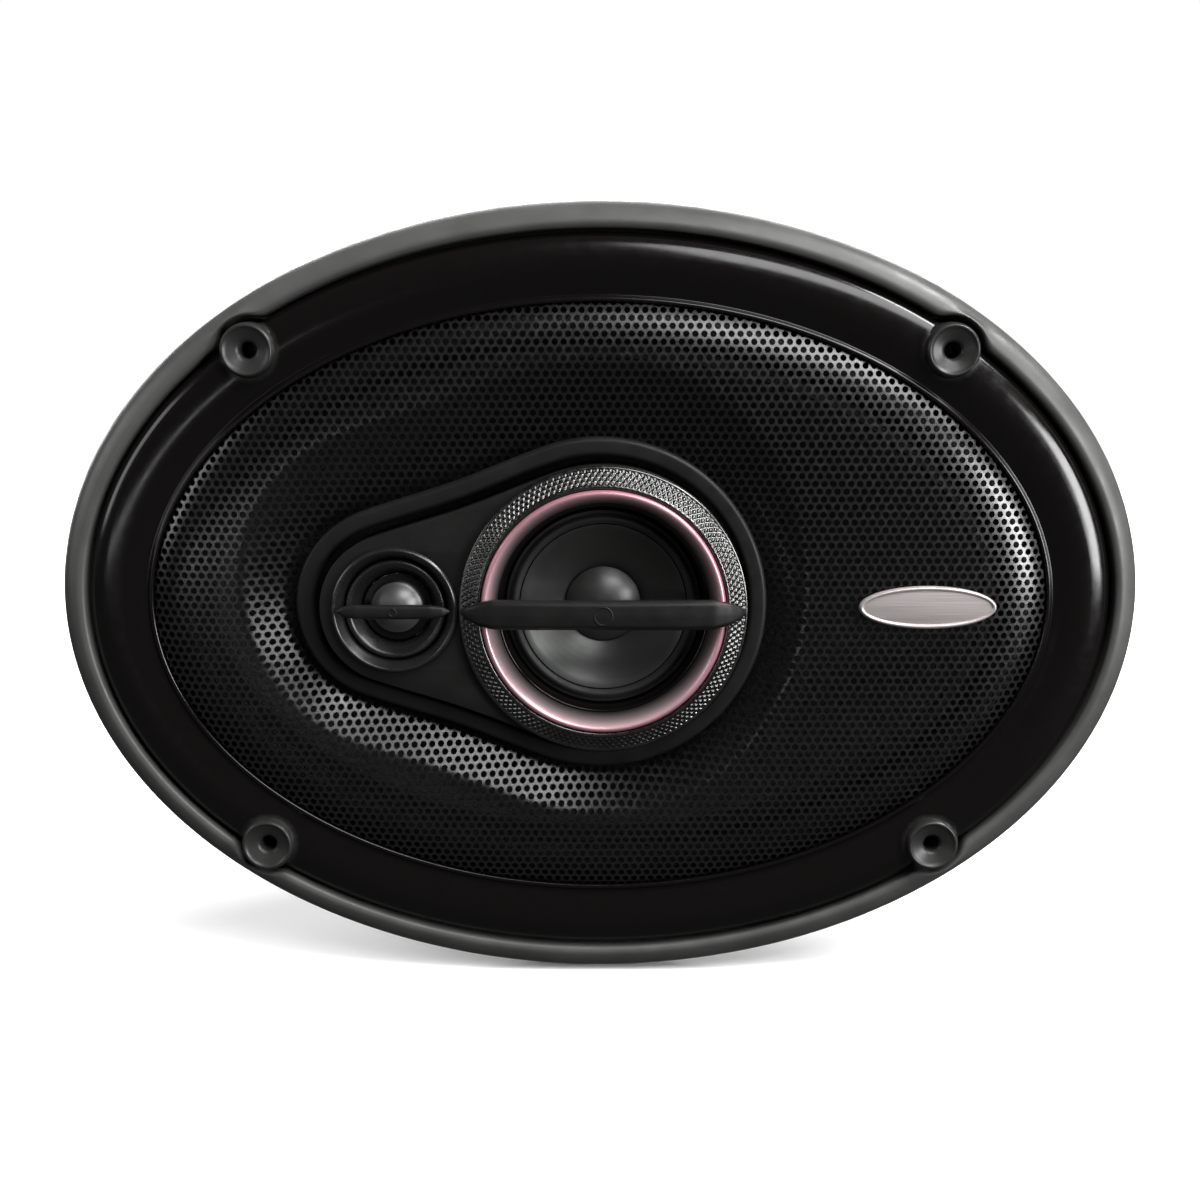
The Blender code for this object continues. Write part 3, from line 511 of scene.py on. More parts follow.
class Look(Nodes):
    """A Principled material whose nodes work from the piece's own position in metres."""

    def __init__(self, name, colour, roughness, metallic=0.0, slot=None, **sockets):
        self.slot = slot or name
        self.material = bpy.data.materials.new(name + "_look")
        self.material.use_nodes = True
        super().__init__(self.material.node_tree)
        self.shader = self.tree.nodes["Principled BSDF"]
        self.colour = colour
        self.roughness = roughness
        self.set("Base Color", (*colour, 1.0))
        self.set("Roughness", roughness)
        self.set("Metallic", metallic)
        for socket, value in sockets.items():
            self.set(socket.replace("_", " "), value)
        self.place = self.add('ShaderNodeTexCoord').outputs["Object"]
        self.height = None

    def set(self, socket, value):
        """Feed one of the shader's inputs."""
        self.feed(self.shader.inputs[socket], value)

    def moved(self, scale, place=(0.0, 0.0, 0.0), vector=None):
        """Position in the piece, scaled along each axis."""
        return self.add('ShaderNodeMapping', {"Vector": vector or self.place, "Location": place,
                                              "Scale": scale}).outputs["Vector"]

    def noise(self, scale, detail=3.0, rough=0.5, vector=None):
        """Noise value; the scale is in features per metre."""
        return self.add('ShaderNodeTexNoise', {"Vector": vector or self.place, "Scale": scale,
                                               "Detail": detail, "Roughness": rough}).outputs["Fac"]

    def wave(self, direction, scale, **inputs):
        """Sine wave value along a direction."""
        return self.add('ShaderNodeTexWave', {"Vector": self.place, "Scale": scale, **inputs},
                        bands_direction=direction, wave_profile='SIN').outputs["Fac"]

    def math(self, operation, *values):
        """A maths node on numbers or sockets."""
        return self.add('ShaderNodeMath', dict(enumerate(values)), operation=operation).outputs["Value"]

    def from_axis(self, centre, vector=None):
        """Distance from a front-back axis, in millimetres."""
        shifted = self.moved((1.0, 1.0, 1.0), (-centre[0] * MM, 0.0, -centre[1] * MM), vector)
        to_mm = (1.0 / MM, 0.0, 1.0 / MM)
        flat = self.add('ShaderNodeVectorMath', {0: shifted, 1: to_mm}, operation='MULTIPLY').outputs["Vector"]
        return self.add('ShaderNodeVectorMath', {0: flat}, operation='LENGTH').outputs["Value"]

    def ramp(self, value, *stops):
        """Colour ramp of (position, colour) stops."""
        node = self.add('ShaderNodeValToRGB', {"Fac": value})
        elements = node.color_ramp.elements
        while len(elements) < len(stops):
            elements.new(0.5)
        for element, (position, colour) in zip(elements, stops):
            element.position = position
            element.color = (*colour, 1.0)
        return node.outputs["Color"]

    def tint(self, value, spread):
        """Vary the base colour lighter and darker with a value."""
        dark = tuple(c * (1.0 - spread) for c in self.colour)
        light = tuple(min(c * (1.0 + spread), 1.0) for c in self.colour)
        self.set("Base Color", self.ramp(value, (0.3, dark), (0.7, light)))

    def wear(self, value, spread):
        """Vary the roughness with a value."""
        low = max(self.roughness - spread, 0.02)
        self.set("Roughness", self.range(value, low, self.roughness + spread, 0.3, 0.7))

    def bump(self, value, depth):
        """Add relief; the depth is in millimetres."""
        below = {"Normal": self.height} if self.height else {}
        node = self.add('ShaderNodeBump', {"Height": value, "Strength": 1.0, "Distance": depth * MM, **below})
        self.height = node.outputs["Normal"]
        self.set("Normal", self.height)

    def rings(self, centre, closeness, depth):
        """Add fine circular relief round a front-back axis."""
        self.bump(self.math('SINE', self.math('MULTIPLY', self.from_axis(centre), closeness)), depth)


def surface(name, colour, roughness, metallic=0.0, tint=None, wear=None, bump=None, **more):
    """Look varied by noise: tint, wear and bump are each the noise's numbers and an amount."""
    look = Look(name, colour, roughness, metallic, **more)
    for vary, numbers in ((look.tint, tint), (look.wear, wear), (look.bump, bump)):
        if numbers:
            vary(look.noise(*numbers[:-1]), numbers[-1])
    return look


def moulded(name, colour, roughness, grain, depth, **more):
    """Moulded plastic or rubber with a fine surface grain."""
    return surface(name, colour, roughness, tint=(90.0, 5.0, 0.18), wear=(260.0, 4.0, 0.07),
                   bump=(grain, 2.0, depth), **more)


def plated(name, colour, roughness):
    """Plated metal."""
    return surface(name, colour, roughness, 1.0, (120.0, 4.0, 0.03), (420.0, 5.0, 0.03), (2600.0, 2.0, 0.008))


def patterned(look, pattern, tint, depth, wear):
    """The look with its tint and relief from one pattern."""
    look.tint(pattern, tint)
    look.bump(pattern, depth)
    look.wear(look.noise(*wear[:-1]), wear[-1])
    return look


def make_gloss_look():
    """High gloss black plastic with a slight orange peel and fine dust, satin and greyer on the bosses."""
    look = surface("gloss_black_plastic", (0.003, 0.0024, 0.0023), 0.17, bump=(420.0, 2.0, 0.003),
                   Specular_IOR_Level=0.45)
    folded = look.add('ShaderNodeVectorMath', {0: look.place}, operation='ABSOLUTE').outputs["Vector"]
    radius = look.math('ADD', look.from_axis((SCREW_X, SCREW_Z), folded), look.noise(600.0))
    satin = look.range(radius, 1.0, 0.0, 6.0, 7.4)
    look.set("Base Color", look.ramp(satin, (0.0, look.colour), (1.0, (0.018, 0.018, 0.0175))))
    haze = look.range(look.noise(340.0, 6.0, 0.65), -0.04, 0.04, 0.3, 0.7)
    look.set("Roughness", look.math('ADD', look.range(satin, look.roughness, 0.36), haze))
    return look


def make_pink_look():
    """Anodised pink ring whose colour is painted darker down its funnel, grey and then near black at its foot,
    as painted shade.
    """
    look = surface("pink_metal", (0.72, 0.42, 0.47), 0.36, 0.6, wear=(500.0, 4.0, 0.05),
                   bump=(900.0, 2.0, 0.001))
    across = look.range(look.from_axis(MID), 0.0, 1.0, 22.8, 26.1)
    # Painted shade: deeper pink on the outer wall, lighter pink at the crest, then grey and near black down
    # into the funnel.
    look.set("Base Color", look.ramp(across, (0.0, (0.03, 0.025, 0.025)), (0.3, (0.25, 0.2, 0.205)),
                                     (0.6, (0.66, 0.43, 0.47)), (1.0, (0.5, 0.18, 0.24))))
    return look


def make_film_look(name, colour, roughness, centre, sheen, black_from=None, **more):
    """Metal-coated film with fine pressed rings, and black from a radius outward if one is given."""
    look = surface(name, colour, roughness, sheen, wear=(420.0, 3.0, 0.04), Coat_Weight=0.25,
                   Coat_Roughness=0.3, **more)
    cloud = look.noise(120.0)
    if black_from is None:
        look.tint(cloud, 0.06)
    else:
        radius = look.math('ADD', look.from_axis(centre), look.math('MULTIPLY', cloud, 0.02))
        across = look.range(radius, 0.0, 1.0, 0.0, 2.0 * black_from)
        black = (0.006, 0.006, 0.006)
        look.set("Base Color", look.ramp(across, (0.0, colour), (0.49, colour), (0.51, black)))
    look.rings(centre, 5.0, 0.003)
    return look


def make_sleeve_look():
    """Shrink sleeve of the capacitors, dark blue with one pale stripe along it."""
    look = surface("capacitor_sleeve", (0.02, 0.045, 0.22), 0.32, wear=(300.0, 4.0, 0.1),
                   bump=(500.0, 4.0, 0.03))
    split = look.add('ShaderNodeSeparateXYZ', {"Vector": look.place})
    level = look.range(split.outputs["Z"], 0.0, 1.0, -0.062, -0.046)
    look.set("Base Color", look.ramp(level, (0.0, look.colour), (0.52, (0.024, 0.052, 0.25)),
                                     (0.55, (0.42, 0.44, 0.5)), (0.62, (0.022, 0.048, 0.23))))
    return look


# Front
TRIM_LOOK = moulded("satin_grey_plastic", (0.058, 0.059, 0.0565), 0.42, 3200.0, 0.014)
GLOSS_LOOK = make_gloss_look()
MESH_LOOK = surface("grille_paint", (0.0035, 0.0035, 0.0034), 0.28, 0.0, (150.0, 4.0, 0.25),
                    (800.0, 3.0, 0.07), (2400.0, 2.0, 0.01), slot="black_painted_steel",
                    Specular_IOR_Level=0.85)
MATTE_LOOK = moulded("matte_black_plastic", (0.0055, 0.0055, 0.0053), 0.48, 3800.0, 0.02,
                     Specular_IOR_Level=0.3)
SATIN_LOOK = moulded("satin_black_plastic", (0.007, 0.007, 0.0068), 0.3, 2600.0, 0.004,
                     slot="matte_black_plastic", Specular_IOR_Level=0.85)
BADGE_LOOK = Look("badge_metal", (0.5, 0.455, 0.45), 0.38, 0.6)
BRUSHED = BADGE_LOOK.moved((60.0, 60.0, 5200.0))
patterned(BADGE_LOOK, BADGE_LOOK.noise(1.0, 4.0, 0.6, BRUSHED), 0.12, 0.006, (1.0, 4.0, 0.6, BRUSHED, 0.09))
PINK_LOOK = make_pink_look()
COLLAR_LOOK = surface("dark_chrome", (0.13, 0.13, 0.128), 0.27, 1.0, (200.0, 5.0, 0.2), (900.0, 3.0, 0.08))
CONE_LOOK = make_film_look("cone_film", (0.045, 0.0472, 0.045), 0.4, MID, 0.7)
DOME_LOOK = make_film_look("dome_film", (0.075, 0.077, 0.075), 0.42, MID, 0.7)
TWEETER_DOME_LOOK = make_film_look("tweeter_dome", (0.14, 0.14, 0.14), 0.42, TWEETER, 0.7, 5.5,
                                   slot="dome_film")

# Back and inside
RUBBER_LOOK = moulded("black_rubber", (0.006, 0.006, 0.006), 0.6, 2200.0, 0.015, Sheen_Weight=0.03)
STEEL_LOOK = surface("black_painted_steel", (0.016, 0.016, 0.0165), 0.34, 0.0, (110.0, 3.0, 0.15),
                     (420.0, 3.0, 0.05), (1300.0, 2.0, 0.008))
ZINC_LOOK = plated("zinc_steel", (0.5, 0.5, 0.475), 0.45)
ZINC_LOOK.rings(AXIS, 22.0, 0.004)
TINNED_LOOK = plated("tinned_brass", (0.68, 0.66, 0.6), 0.3)
FERRITE_LOOK = surface("ferrite", (0.055, 0.055, 0.058), 0.58, 0.1, (900.0, 6.0, 0.7, 0.4),
                       (200.0, 4.0, 0.12), (1500.0, 5.0, 0.7, 0.04))
FORMER_LOOK = surface("coil_former", (0.35, 0.15, 0.035), 0.3, 0.0, (160.0, 4.0, 0.25), (500.0, 4.0, 0.08),
                      (900.0, 3.0, 0.01))
COPPER_LOOK = surface("copper", (0.72, 0.31, 0.16), 0.3, 1.0, (300.0, 4.0, 0.2), (600.0, 4.0, 0.08))
COPPER_LOOK.bump(COPPER_LOOK.wave('Y', 900.0), 0.08)
PAPER_LOOK = Look("cone_paper", (0.03, 0.03, 0.031), 0.72)
patterned(PAPER_LOOK, PAPER_LOOK.noise(700.0, 8.0, 0.72, PAPER_LOOK.moved((1.0, 0.45, 1.0))), 0.35, 0.06,
          (300.0, 3.0, 0.1))
CLOTH_LOOK = Look("spider_cloth", (0.5, 0.32, 0.11), 0.85, Sheen_Weight=0.3)
WEAVE = CLOTH_LOOK.math('MULTIPLY', *[CLOTH_LOOK.wave(axis, 420.0, Distortion=0.4) for axis in 'XZ'])
patterned(CLOTH_LOOK, WEAVE, 0.3, 0.12, (300.0, 4.0, 0.08))
BOARD_LOOK = Look("fibre_board", (0.22, 0.105, 0.045), 0.62)
patterned(BOARD_LOOK, BOARD_LOOK.noise(600.0, 7.0, 0.7, BOARD_LOOK.moved((0.35, 1.0, 1.0))), 0.35, 0.03,
          (260.0, 3.0, 0.08))
SLEEVE_LOOK = make_sleeve_look()
BRAID_LOOK = Look("tinsel_braid", (0.62, 0.36, 0.22), 0.42, 1.0, slot="copper")
patterned(BRAID_LOOK, BRAID_LOOK.wave('DIAGONAL', 700.0), 0.35, 0.2, (400.0, 3.0, 0.08))



# Front ring, bezel and grille

def trim_width(angle):
    """Width of the trim ring at an angle: less where a boss stands in it."""
    edge = Vector(oval_point(angle))
    inward = (Vector(oval_point(angle, 1.0)) - edge).normalized()
    width = TRIM_WIDTH
    for screw in SCREWS:
        offset = edge - Vector(screw)
        along = offset.dot(inward)
        inside = along * along - offset.length_squared + SCALLOP_RADIUS ** 2
        if inside > 0.0:
            width = min(width, -along - math.sqrt(inside))
    return width


def make_trim_ring():
    """Satin ring round the flange edge, scalloped at the bosses."""
    skirt = 2.3
    under = FLANGE + 0.3
    section = soften([(0.0, 0.2, 0.3), (0.0, 3.2, 1.6), (2.0, 6.6, 1.8), (5.0, TRIM_FRONT, 1.0),
                      (TRIM_WIDTH, TRIM_FRONT - 0.6, 0.5), (TRIM_WIDTH, under, 0.2), (skirt, under, 0.2),
                      (skirt, 0.2, 0.2)], 0.3)
    angles = even_oval_angles(960)
    widths = np.array([trim_width(a) for a in angles])
    kernel = np.hanning(9)
    padded = np.concatenate([widths[-4:], widths, widths[:4]])
    widths = np.convolve(padded, kernel / kernel.sum(), mode='valid')
    rows = []
    for angle, width in zip(angles, widths):
        squeeze = (width - skirt) / (TRIM_WIDTH - skirt)
        rows.append([at_oval(angle, skirt + (inset - skirt) * squeeze if inset > skirt else inset, forward)
                     for inset, forward in section])
    piece("outer_trim_ring", loft(rows), TRIM_LOOK)


FOOT = FLANGE + 0.3
BEZEL_TOP = soften([(BEZEL_OUTER, FOOT), (BEZEL_OUTER, 5.6, 0.8), (8.0, 7.3, 1.2), (10.2, 8.3, 2.0),
                    (13.4, 8.8, 3.0), (17.0, 8.25, 3.0), (20.0, 7.2, 0.5), (20.4, 7.9, 0.3),
                    (21.0, 8.1, 0.3), (BEZEL_INNER, 7.8, 0.2), (BEZEL_INNER, 5.2)], 0.2, closed=False)


def bezel_forward(inset):
    """Height of the bezel's outer surface at an inset."""
    rising = [p for p in BEZEL_TOP if p[0] <= 19.9]
    insets = [BEZEL_OUTER - 0.6] + [p[0] + 0.0001 * i for i, p in enumerate(rising)]
    return float(np.interp(inset, insets, [FOOT] + [p[1] for p in rising]))


def boss(screw):
    """Screw boss whose foot spreads on to the bezel on its inner side.

    A thin moulded film closes the foot of its bore until a screw goes through.
    """
    wall = 5.9
    shoulder = BOSS_FRONT - 2.3
    film = FOOT + 0.4
    bore = SCREW_HOLE_RADIUS - 0.35
    top = soften([(0.0, film), (bore, film), (bore, BOSS_FRONT - 1.9, 0.2), (2.2, BOSS_FRONT - 1.35, 0.4),
                  (4.5, BOSS_FRONT - 0.45, 0.5), (5.0, BOSS_FRONT, 0.3), (5.4, BOSS_FRONT - 0.15, 0.3),
                  (5.8, BOSS_FRONT - 1.0, 0.6), (wall, shoulder)], 0.3, closed=False, steps=6)
    inward = -Vector((screw[0] / OVAL_HALF_WIDTH ** 2, screw[1] / OVAL_HALF_HEIGHT ** 2)).normalized()
    shares = [step / 12 for step in range(1, 13)]
    rows = []
    for angle in turn(SMALL_STEPS):
        facing = max(Vector(around(AXIS, 1.0, angle)).dot(inward), 0.0)
        reach = 6.9 + 2.4 * facing ** 0.7 - wall
        row = [at_ring(screw, r, angle, f) for r, f in top]
        flare = [around(screw, wall + reach * share, angle) for share in shares]
        for share, (x, z), inset in zip(shares, flare, oval_insets(flare)):
            level = bezel_forward(inset)
            rise = (1.0 - share) ** 3
            row.append(at(x, level + (shoulder - level) * rise - 0.12 * (1.0 - rise), z))
        rows.append(row + [at_ring(screw, wall, angle, FOOT), at(screw[0], FOOT, screw[1])])
    return skin(rows, closed_columns=False, sharp=50.0)


def make_bezel():
    """Gloss roll with its lip and the four bosses."""
    under = soften([(BEZEL_INNER, 5.2), (19.4, 5.2), (13.0, 6.6), (8.8, 5.2), (8.8, FOOT)], 1.0, closed=False)
    roll = oval_ring(BEZEL_TOP[:-1] + under, even_oval_angles(720))
    bm = bmesh.new()
    bm.from_mesh(roll)
    covered = 5.1
    hidden = [f for f in bm.faces
              if any(all(radius_from(v.co, screw) < covered for v in f.verts) for screw in SCREWS)]
    bmesh.ops.delete(bm, geom=hidden, context='FACES')
    bm.to_mesh(roll)
    bm.free()
    piece("grille_bezel", joined([roll, *[boss(screw) for screw in SCREWS]]), GLOSS_LOOK)


POD_REACH = reach_table(pear(RING_BIG, RING_SMALL))
RECESS_REACH = reach_table(recess_outline())


def mesh_forward(points):
    """Height of the grille's front at each (x, z) point."""
    angles, lengths = fan(points)
    start = np.interp(angles, *POD_REACH, period=math.tau)
    edge = np.interp(angles, *RECESS_REACH, period=math.tau)
    share = np.clip((lengths - start) / (edge - start), 0.0, 4.0)
    slope = MESH_POD_FORWARD + (MESH_CREST_FORWARD - MESH_POD_FORWARD) * share
    rim_drop = 3.9 * np.exp((21.7 - oval_insets(points)) / 6.0)
    return smallest(slope, np.maximum(MESH_CREST_FORWARD + 0.3 - rim_drop, 5.9), 0.5)


def hole_centres():
    """Staggered hole centres over the grille, running just under the lip and the pod ring."""
    row_pitch = HOLE_PITCH * math.sqrt(3.0) / 2.0
    rows = int(OVAL_HALF_HEIGHT / row_pitch)
    columns = int(OVAL_HALF_WIDTH / HOLE_PITCH)
    centres = [((j + 0.5 * (k % 2)) * HOLE_PITCH, k * row_pitch)
               for k in range(-rows, rows + 1) for j in range(-columns, columns + 1)]
    centres = [(x, z) for x, z in centres if (x / OVAL_HALF_WIDTH) ** 2 + (z / OVAL_HALF_HEIGHT) ** 2 < 1.0]
    angles, lengths = fan(centres)
    outside_pod = lengths > np.interp(angles, *POD_REACH, period=math.tau) - 1.0
    return np.array(centres)[(oval_insets(centres) > BEZEL_INNER - 0.4) & outside_pod]


def between_rings(outer_angles, inner_angles):
    """Triangles between a cell's corners and its hole, as places in the list of corners and hole points."""
    outer = len(outer_angles)
    last = [outer - 1, outer + len(inner_angles) - 1]
    events = sorted([(a, 0, i) for i, a in enumerate(outer_angles)]
                    + [(a, 1, outer + i) for i, a in enumerate(inner_angles)])
    triangles = []
    for _, ring, here in events:
        triangles.append((last[0], here, last[1]))
        last[ring] = here
    return triangles


def make_grille_mesh():
    """Perforated sheet made of six-sided cells, each with a hole of eight sides in front and six behind."""
    corner_angles = [math.radians(30.0 + 60.0 * k) for k in range(6)]
    front_angles = turn(8)
    back_angles = turn(6)
    front_face = between_rings(corner_angles, front_angles)
    back_face = [triangle[::-1] for triangle in between_rings(corner_angles, back_angles)]
    wall = between_rings(front_angles, back_angles)
    points = []
    index = {}

    def add(place, depth):
        points.append((*place, depth))
        return len(points) - 1

    def corner(place):
        key = tuple(round(number * 50.0) for number in place)
        if key not in index:
            index[key] = add(place, 0.0)
            add(place, MESH_SHEET)
        return index[key]

    faces = []
    sides = {}
    for centre in hole_centres():
        corners = [corner(around(centre, HOLE_PITCH / math.sqrt(3.0), a)) for a in corner_angles]
        front = [add(around(centre, HOLE_RADIUS, a), 0.0) for a in front_angles]
        back = [add(around(centre, HOLE_RADIUS, a), MESH_SHEET) for a in back_angles]
        for ring, triangles in ((corners + front, front_face), ([c + 1 for c in corners] + back, back_face),
                                (front + back, wall)):
            faces += [tuple(ring[i] for i in triangle) for triangle in triangles]
        for a, b in zip(corners, corners[1:] + corners[:1]):
            edge = (min(a, b), max(a, b))
            sides[edge] = None if edge in sides else (a, b)
    faces += [(b, a, a + 1, b + 1) for a, b in filter(None, sides.values())]
    levels = mesh_forward([point[:2] for point in points])
    places = [at(x, level - depth, z) for (x, z, depth), level in zip(points, levels)]
    piece("grille_mesh", shaded(mesh_from("grille", places, faces), 40.0), MESH_LOOK)


def make_badge():
    """Lens-shaped plate with a raised rim, left plain."""
    half_length = 14.8
    half_height = 4.65
    centre = 70.5
    rim = 1.05
    back = node_back("badge_plate")
    front = node_front("badge_plate")
    section = soften([(0.0, back), (0.0, front - 0.45, 0.3), (0.35, front, 0.25), (0.75, front - 0.05, 0.2),
                      (rim, front - 0.4, 0.2)], 0.2, closed=False)
    rows = []
    for angle in turn(192):
        c, s = around(AXIS, 1.0, angle)
        row = [at(centre + (half_length - inset) * c, forward, (half_height - inset) * s)
               for inset, forward in section]
        for share in (0.9, 0.75, 0.55, 0.3, 0.1):
            crown = front - 0.4 + 0.3 * (1.0 - share ** 2)
            row.append(at(centre + (half_length - rim) * share * c, crown, (half_height - rim) * share * s))
        rows.append(row + [at(centre, front - 0.1, 0.0)])
    columns = len(rows[0])
    mesh = skin(rows, closed_columns=False, sharp=28.0, caps=[tuple(i * columns for i in range(len(rows)))])
    peg_profile = [(0.0, back + 0.1), (1.3, back + 0.1), (1.3, back - 1.3), (0.0, back - 1.3)]
    pegs = [lathe(peg_profile, (centre + side, 0.0), 24, 0.1) for side in (-9.0, 9.0)]
    piece("badge_plate", joined([mesh, *pegs]), BADGE_LOOK)


def make_pod_ring():
    """Matte pear-shaped ring on the grille's inner edge."""
    section = soften([(0.0, RING_BACK), (0.0, RING_FRONT - 0.7, 0.5), (0.6, RING_FRONT, 0.5),
                      (RING_BAND - 0.6, RING_FRONT, 0.5), (RING_BAND, RING_FRONT - 0.6, 0.4),
                      (RING_BAND, RING_BACK)], 0.25)
    rails = [[at(x, forward, z) for x, z in pear(RING_BIG - inset, RING_SMALL - inset)]
             for inset, forward in section]
    piece("pod_ring", loft([list(row) for row in zip(*rails)]), MATTE_LOOK)


# Pod: housing, midrange, tweeter

def pod_pear(inset):
    """Pear outline of the pod, placed on its axis."""
    return [(x + MID[0], z + MID[1]) for x, z in pear(POD_BIG - inset, POD_SMALL - inset, POD_DISTANCE)]


def ring_round(centre, radius):
    """Circle round an axis with a point for each point of the pod's pear."""
    return [around(centre, radius, math.atan2(z - MID[1], x - MID[0])) for x, z in pod_pear(0.0)]


def make_pod_housing():
    """Tray of the pod with the can behind the midrange."""
    top = BAFFLE_BACK - 0.3
    floor = POD_BACK + POD_WALL
    can_floor = CAN_BACK + POD_WALL
    bolt_hole = 3.0
    wall = pod_pear(0.0)
    inner_wall = pod_pear(POD_WALL)
    can = ring_round(MID, CAN_RADIUS)
    inner_can = ring_round(MID, CAN_RADIUS - POD_WALL)
    hole = ring_round(AXIS, bolt_hole)
    rails = [(inner_wall, top), (wall, top), (wall, POD_BACK), (can, POD_BACK), (can, CAN_BACK),
             (hole, CAN_BACK), (hole, can_floor), (inner_can, can_floor), (inner_can, floor),
             (inner_wall, floor)]
    columns = zip(*[[(x, f, z) for x, z in outline] for outline, f in rails])
    rows = [[at(*p) for p in soften(column, 0.8, axes=3)] for column in columns]
    piece("pod_housing", loft(rows), MATTE_LOOK)


def circle(radius, x, z, steps=ROUND_STEPS):
    """Closed circular outline."""
    return [around((x, z), radius, a) for a in turn(steps)]


def make_baffle():
    """Front plate of the pod."""
    outlines = [pod_pear(0.0), circle(27.2, *MID), circle(12.4, *TWEETER, steps=SMALL_STEPS)]
    piece("pod_baffle", plate(outlines, BAFFLE_BACK, BAFFLE_FRONT), MATTE_LOOK)


def make_collar():
    """Collar with a diamond knurl cut into its sloping face."""
    outer = 30.9
    foot_front = ON_PLATE + 1.0
    slope_steps = 32
    slope = [(30.35 - 3.35 * i / slope_steps, 14.95 + 2.4 * i / slope_steps) for i in range(slope_steps + 1)]
    skirt = [(26.3, ON_PLATE), (outer, ON_PLATE), (outer, foot_front), (outer - 0.15, foot_front + 0.2),
             (30.5, foot_front + 0.25)]
    lip = [(26.75, 17.4), (26.4, 17.35), (26.3, 17.2)]
    teeth = 138
    rows_across = 4
    depth = 0.3
    rows = []
    for angle in turn(teeth * 10):
        knurl = []
        for i, (radius, forward) in enumerate(slope):
            share = i / slope_steps
            fade = min(share, 1.0 - share) * 9.0
            lean = share * rows_across * math.pi
            ridge = min(abs(math.sin((teeth * angle + side * lean) / 2.0)) for side in (1.0, -1.0))
            knurl.append((radius, forward - depth * min(fade, 1.0) * (1.0 - ridge * 1.4)))
        rows.append([at_ring(MID, r, angle, f) for r, f in skirt + knurl + lip])
    piece("mid_collar", loft(rows, sharp=60.0), COLLAR_LOOK)


def make_midrange():
    """Midrange ring, frame, cone, dome and surround."""
    ring = [(26.1, 12.6), (26.1, 17.3, 0.4), (25.7, 17.95, 0.4), (25.0, 18.05, 0.6), (24.2, 16.9, 0.8),
            (23.2, 14.6, 0.8), (22.8, 12.6)]
    piece("mid_trim_ring", lathe(ring, MID, 240, 0.2, 6), PINK_LOOK)
    shell = [(26.9, 12.3), (26.9, 11.1), (23.4, 11.1), (22.4, 7.4, 0.8), (20.4, 7.4, 0.8),
             (13.5, -2.4, 0.8), (6.9, -2.4), (6.9, -1.2), (12.9, -1.2, 0.8), (19.4, 7.9, 0.5), (19.4, 8.6),
             (21.4, 8.6), (22.4, 12.3)]
    piece("mid_frame", lathe(shell, MID, 200, 0.2), GLOSS_LOOK)
    cone = [(18.1, 9.9), (18.1, 9.5), (17.2, 8.9, 0.6), (12.6, 6.3, 2.5), (7.3, 3.2), (6.9, 3.2),
            (6.9, 3.7), (12.4, 6.9, 2.5), (17.0, 9.5, 0.6)]
    piece("mid_cone", lathe(cone, MID, 200, 0.15, 6), CONE_LOOK, "midrange_moving")
    dome = [(0.0, 8.1), (1.8, 8.05, 1.0), (3.6, 7.65, 1.0), (5.4, 6.95, 1.0), (7.1, 5.9, 1.0), (8.3, 4.95),
            (7.9, 4.75), (6.2, 6.05, 1.0), (3.3, 7.3, 1.5), (0.0, 7.7)]
    piece("mid_dust_dome", lathe(dome, MID, 160, 0.15, 6), DOME_LOOK, "midrange_moving")
    roll = [(21.1, 8.9), (21.1, 9.3), (20.3, 9.4, 0.4), (19.9, 10.3, 0.5), (19.3, 10.6, 0.5),
            (18.7, 10.3, 0.4), (18.3, 9.95), (18.3, 9.55), (18.8, 9.8, 0.4), (19.3, 10.1, 0.4),
            (19.7, 9.8, 0.3), (20.0, 8.9, 0.2)]
    mesh = lathe(roll, MID, 160, 0.1)
    weights = [(20.6 - radius_from(v.co, MID)) / 2.0 for v in mesh.vertices]
    soft_piece("mid_surround", mesh, RUBBER_LOOK, "midrange_moving", weights)


def radius_from(point, centre):
    """Distance in millimetres of a vertex from a front-back axis."""
    return math.hypot(point.x / MM - centre[0], point.z / MM - centre[1])


def bar_mesh(stations, centre, mark):
    """Bar across a unit through (x, half height, back, front) stations, with a mark in its middle."""
    xs = [s[0] for s in stations]
    rows = []
    for x in [xs[-1] * math.sin(math.pi / 2.0 * i / 40.0) for i in range(-40, 41)]:
        half, back, front = (np.interp(abs(x), xs, [s[k] for s in stations]) for k in (1, 2, 3))
        flat = half * 0.74
        middle = back + (front - back) * 0.62
        corners = [(half, back), (half, middle), (flat, front), (0.0, front + 0.12), (-flat, front),
                   (-half, middle), (-half, back)]
        rows.append([at(centre[0] + x, f, centre[1] + z) for z, f in soften(corners, min(half, 1.1) * 0.4)])
    front = stations[0][3]
    ring = [(mark - 0.2, front - 0.3), (mark - 0.2, front + 0.13), (mark, front + 0.18),
            (mark + 0.2, front + 0.1), (mark + 0.2, front - 0.3)]
    return joined([loft(rows, closed=False, sharp=50.0), lathe(ring, centre, 64, 0.08)])


def make_bars():
    """Bars across the midrange and the tweeter."""
    wide = [(0.0, 3.1, 19.0, 21.28), (12.0, 3.15, 18.9, 21.18), (18.0, 3.2, 18.75, 20.95),
            (23.5, 3.15, 18.5, 20.5), (26.8, 2.35, 17.9, 19.4), (29.2, 1.3, 16.6, 17.8),
            (30.4, 0.4, 15.6, 16.6)]
    narrow = [(0.0, 1.55, 15.6, 17.0), (8.0, 1.5, 15.5, 16.85), (10.6, 1.1, 15.3, 16.3),
              (12.0, 0.3, 15.2, 15.6)]
    piece("mid_bridge_bar", bar_mesh(wide, MID, 1.9), MATTE_LOOK)
    piece("tweeter_bar", bar_mesh(narrow, TWEETER, 0.8), MATTE_LOOK)


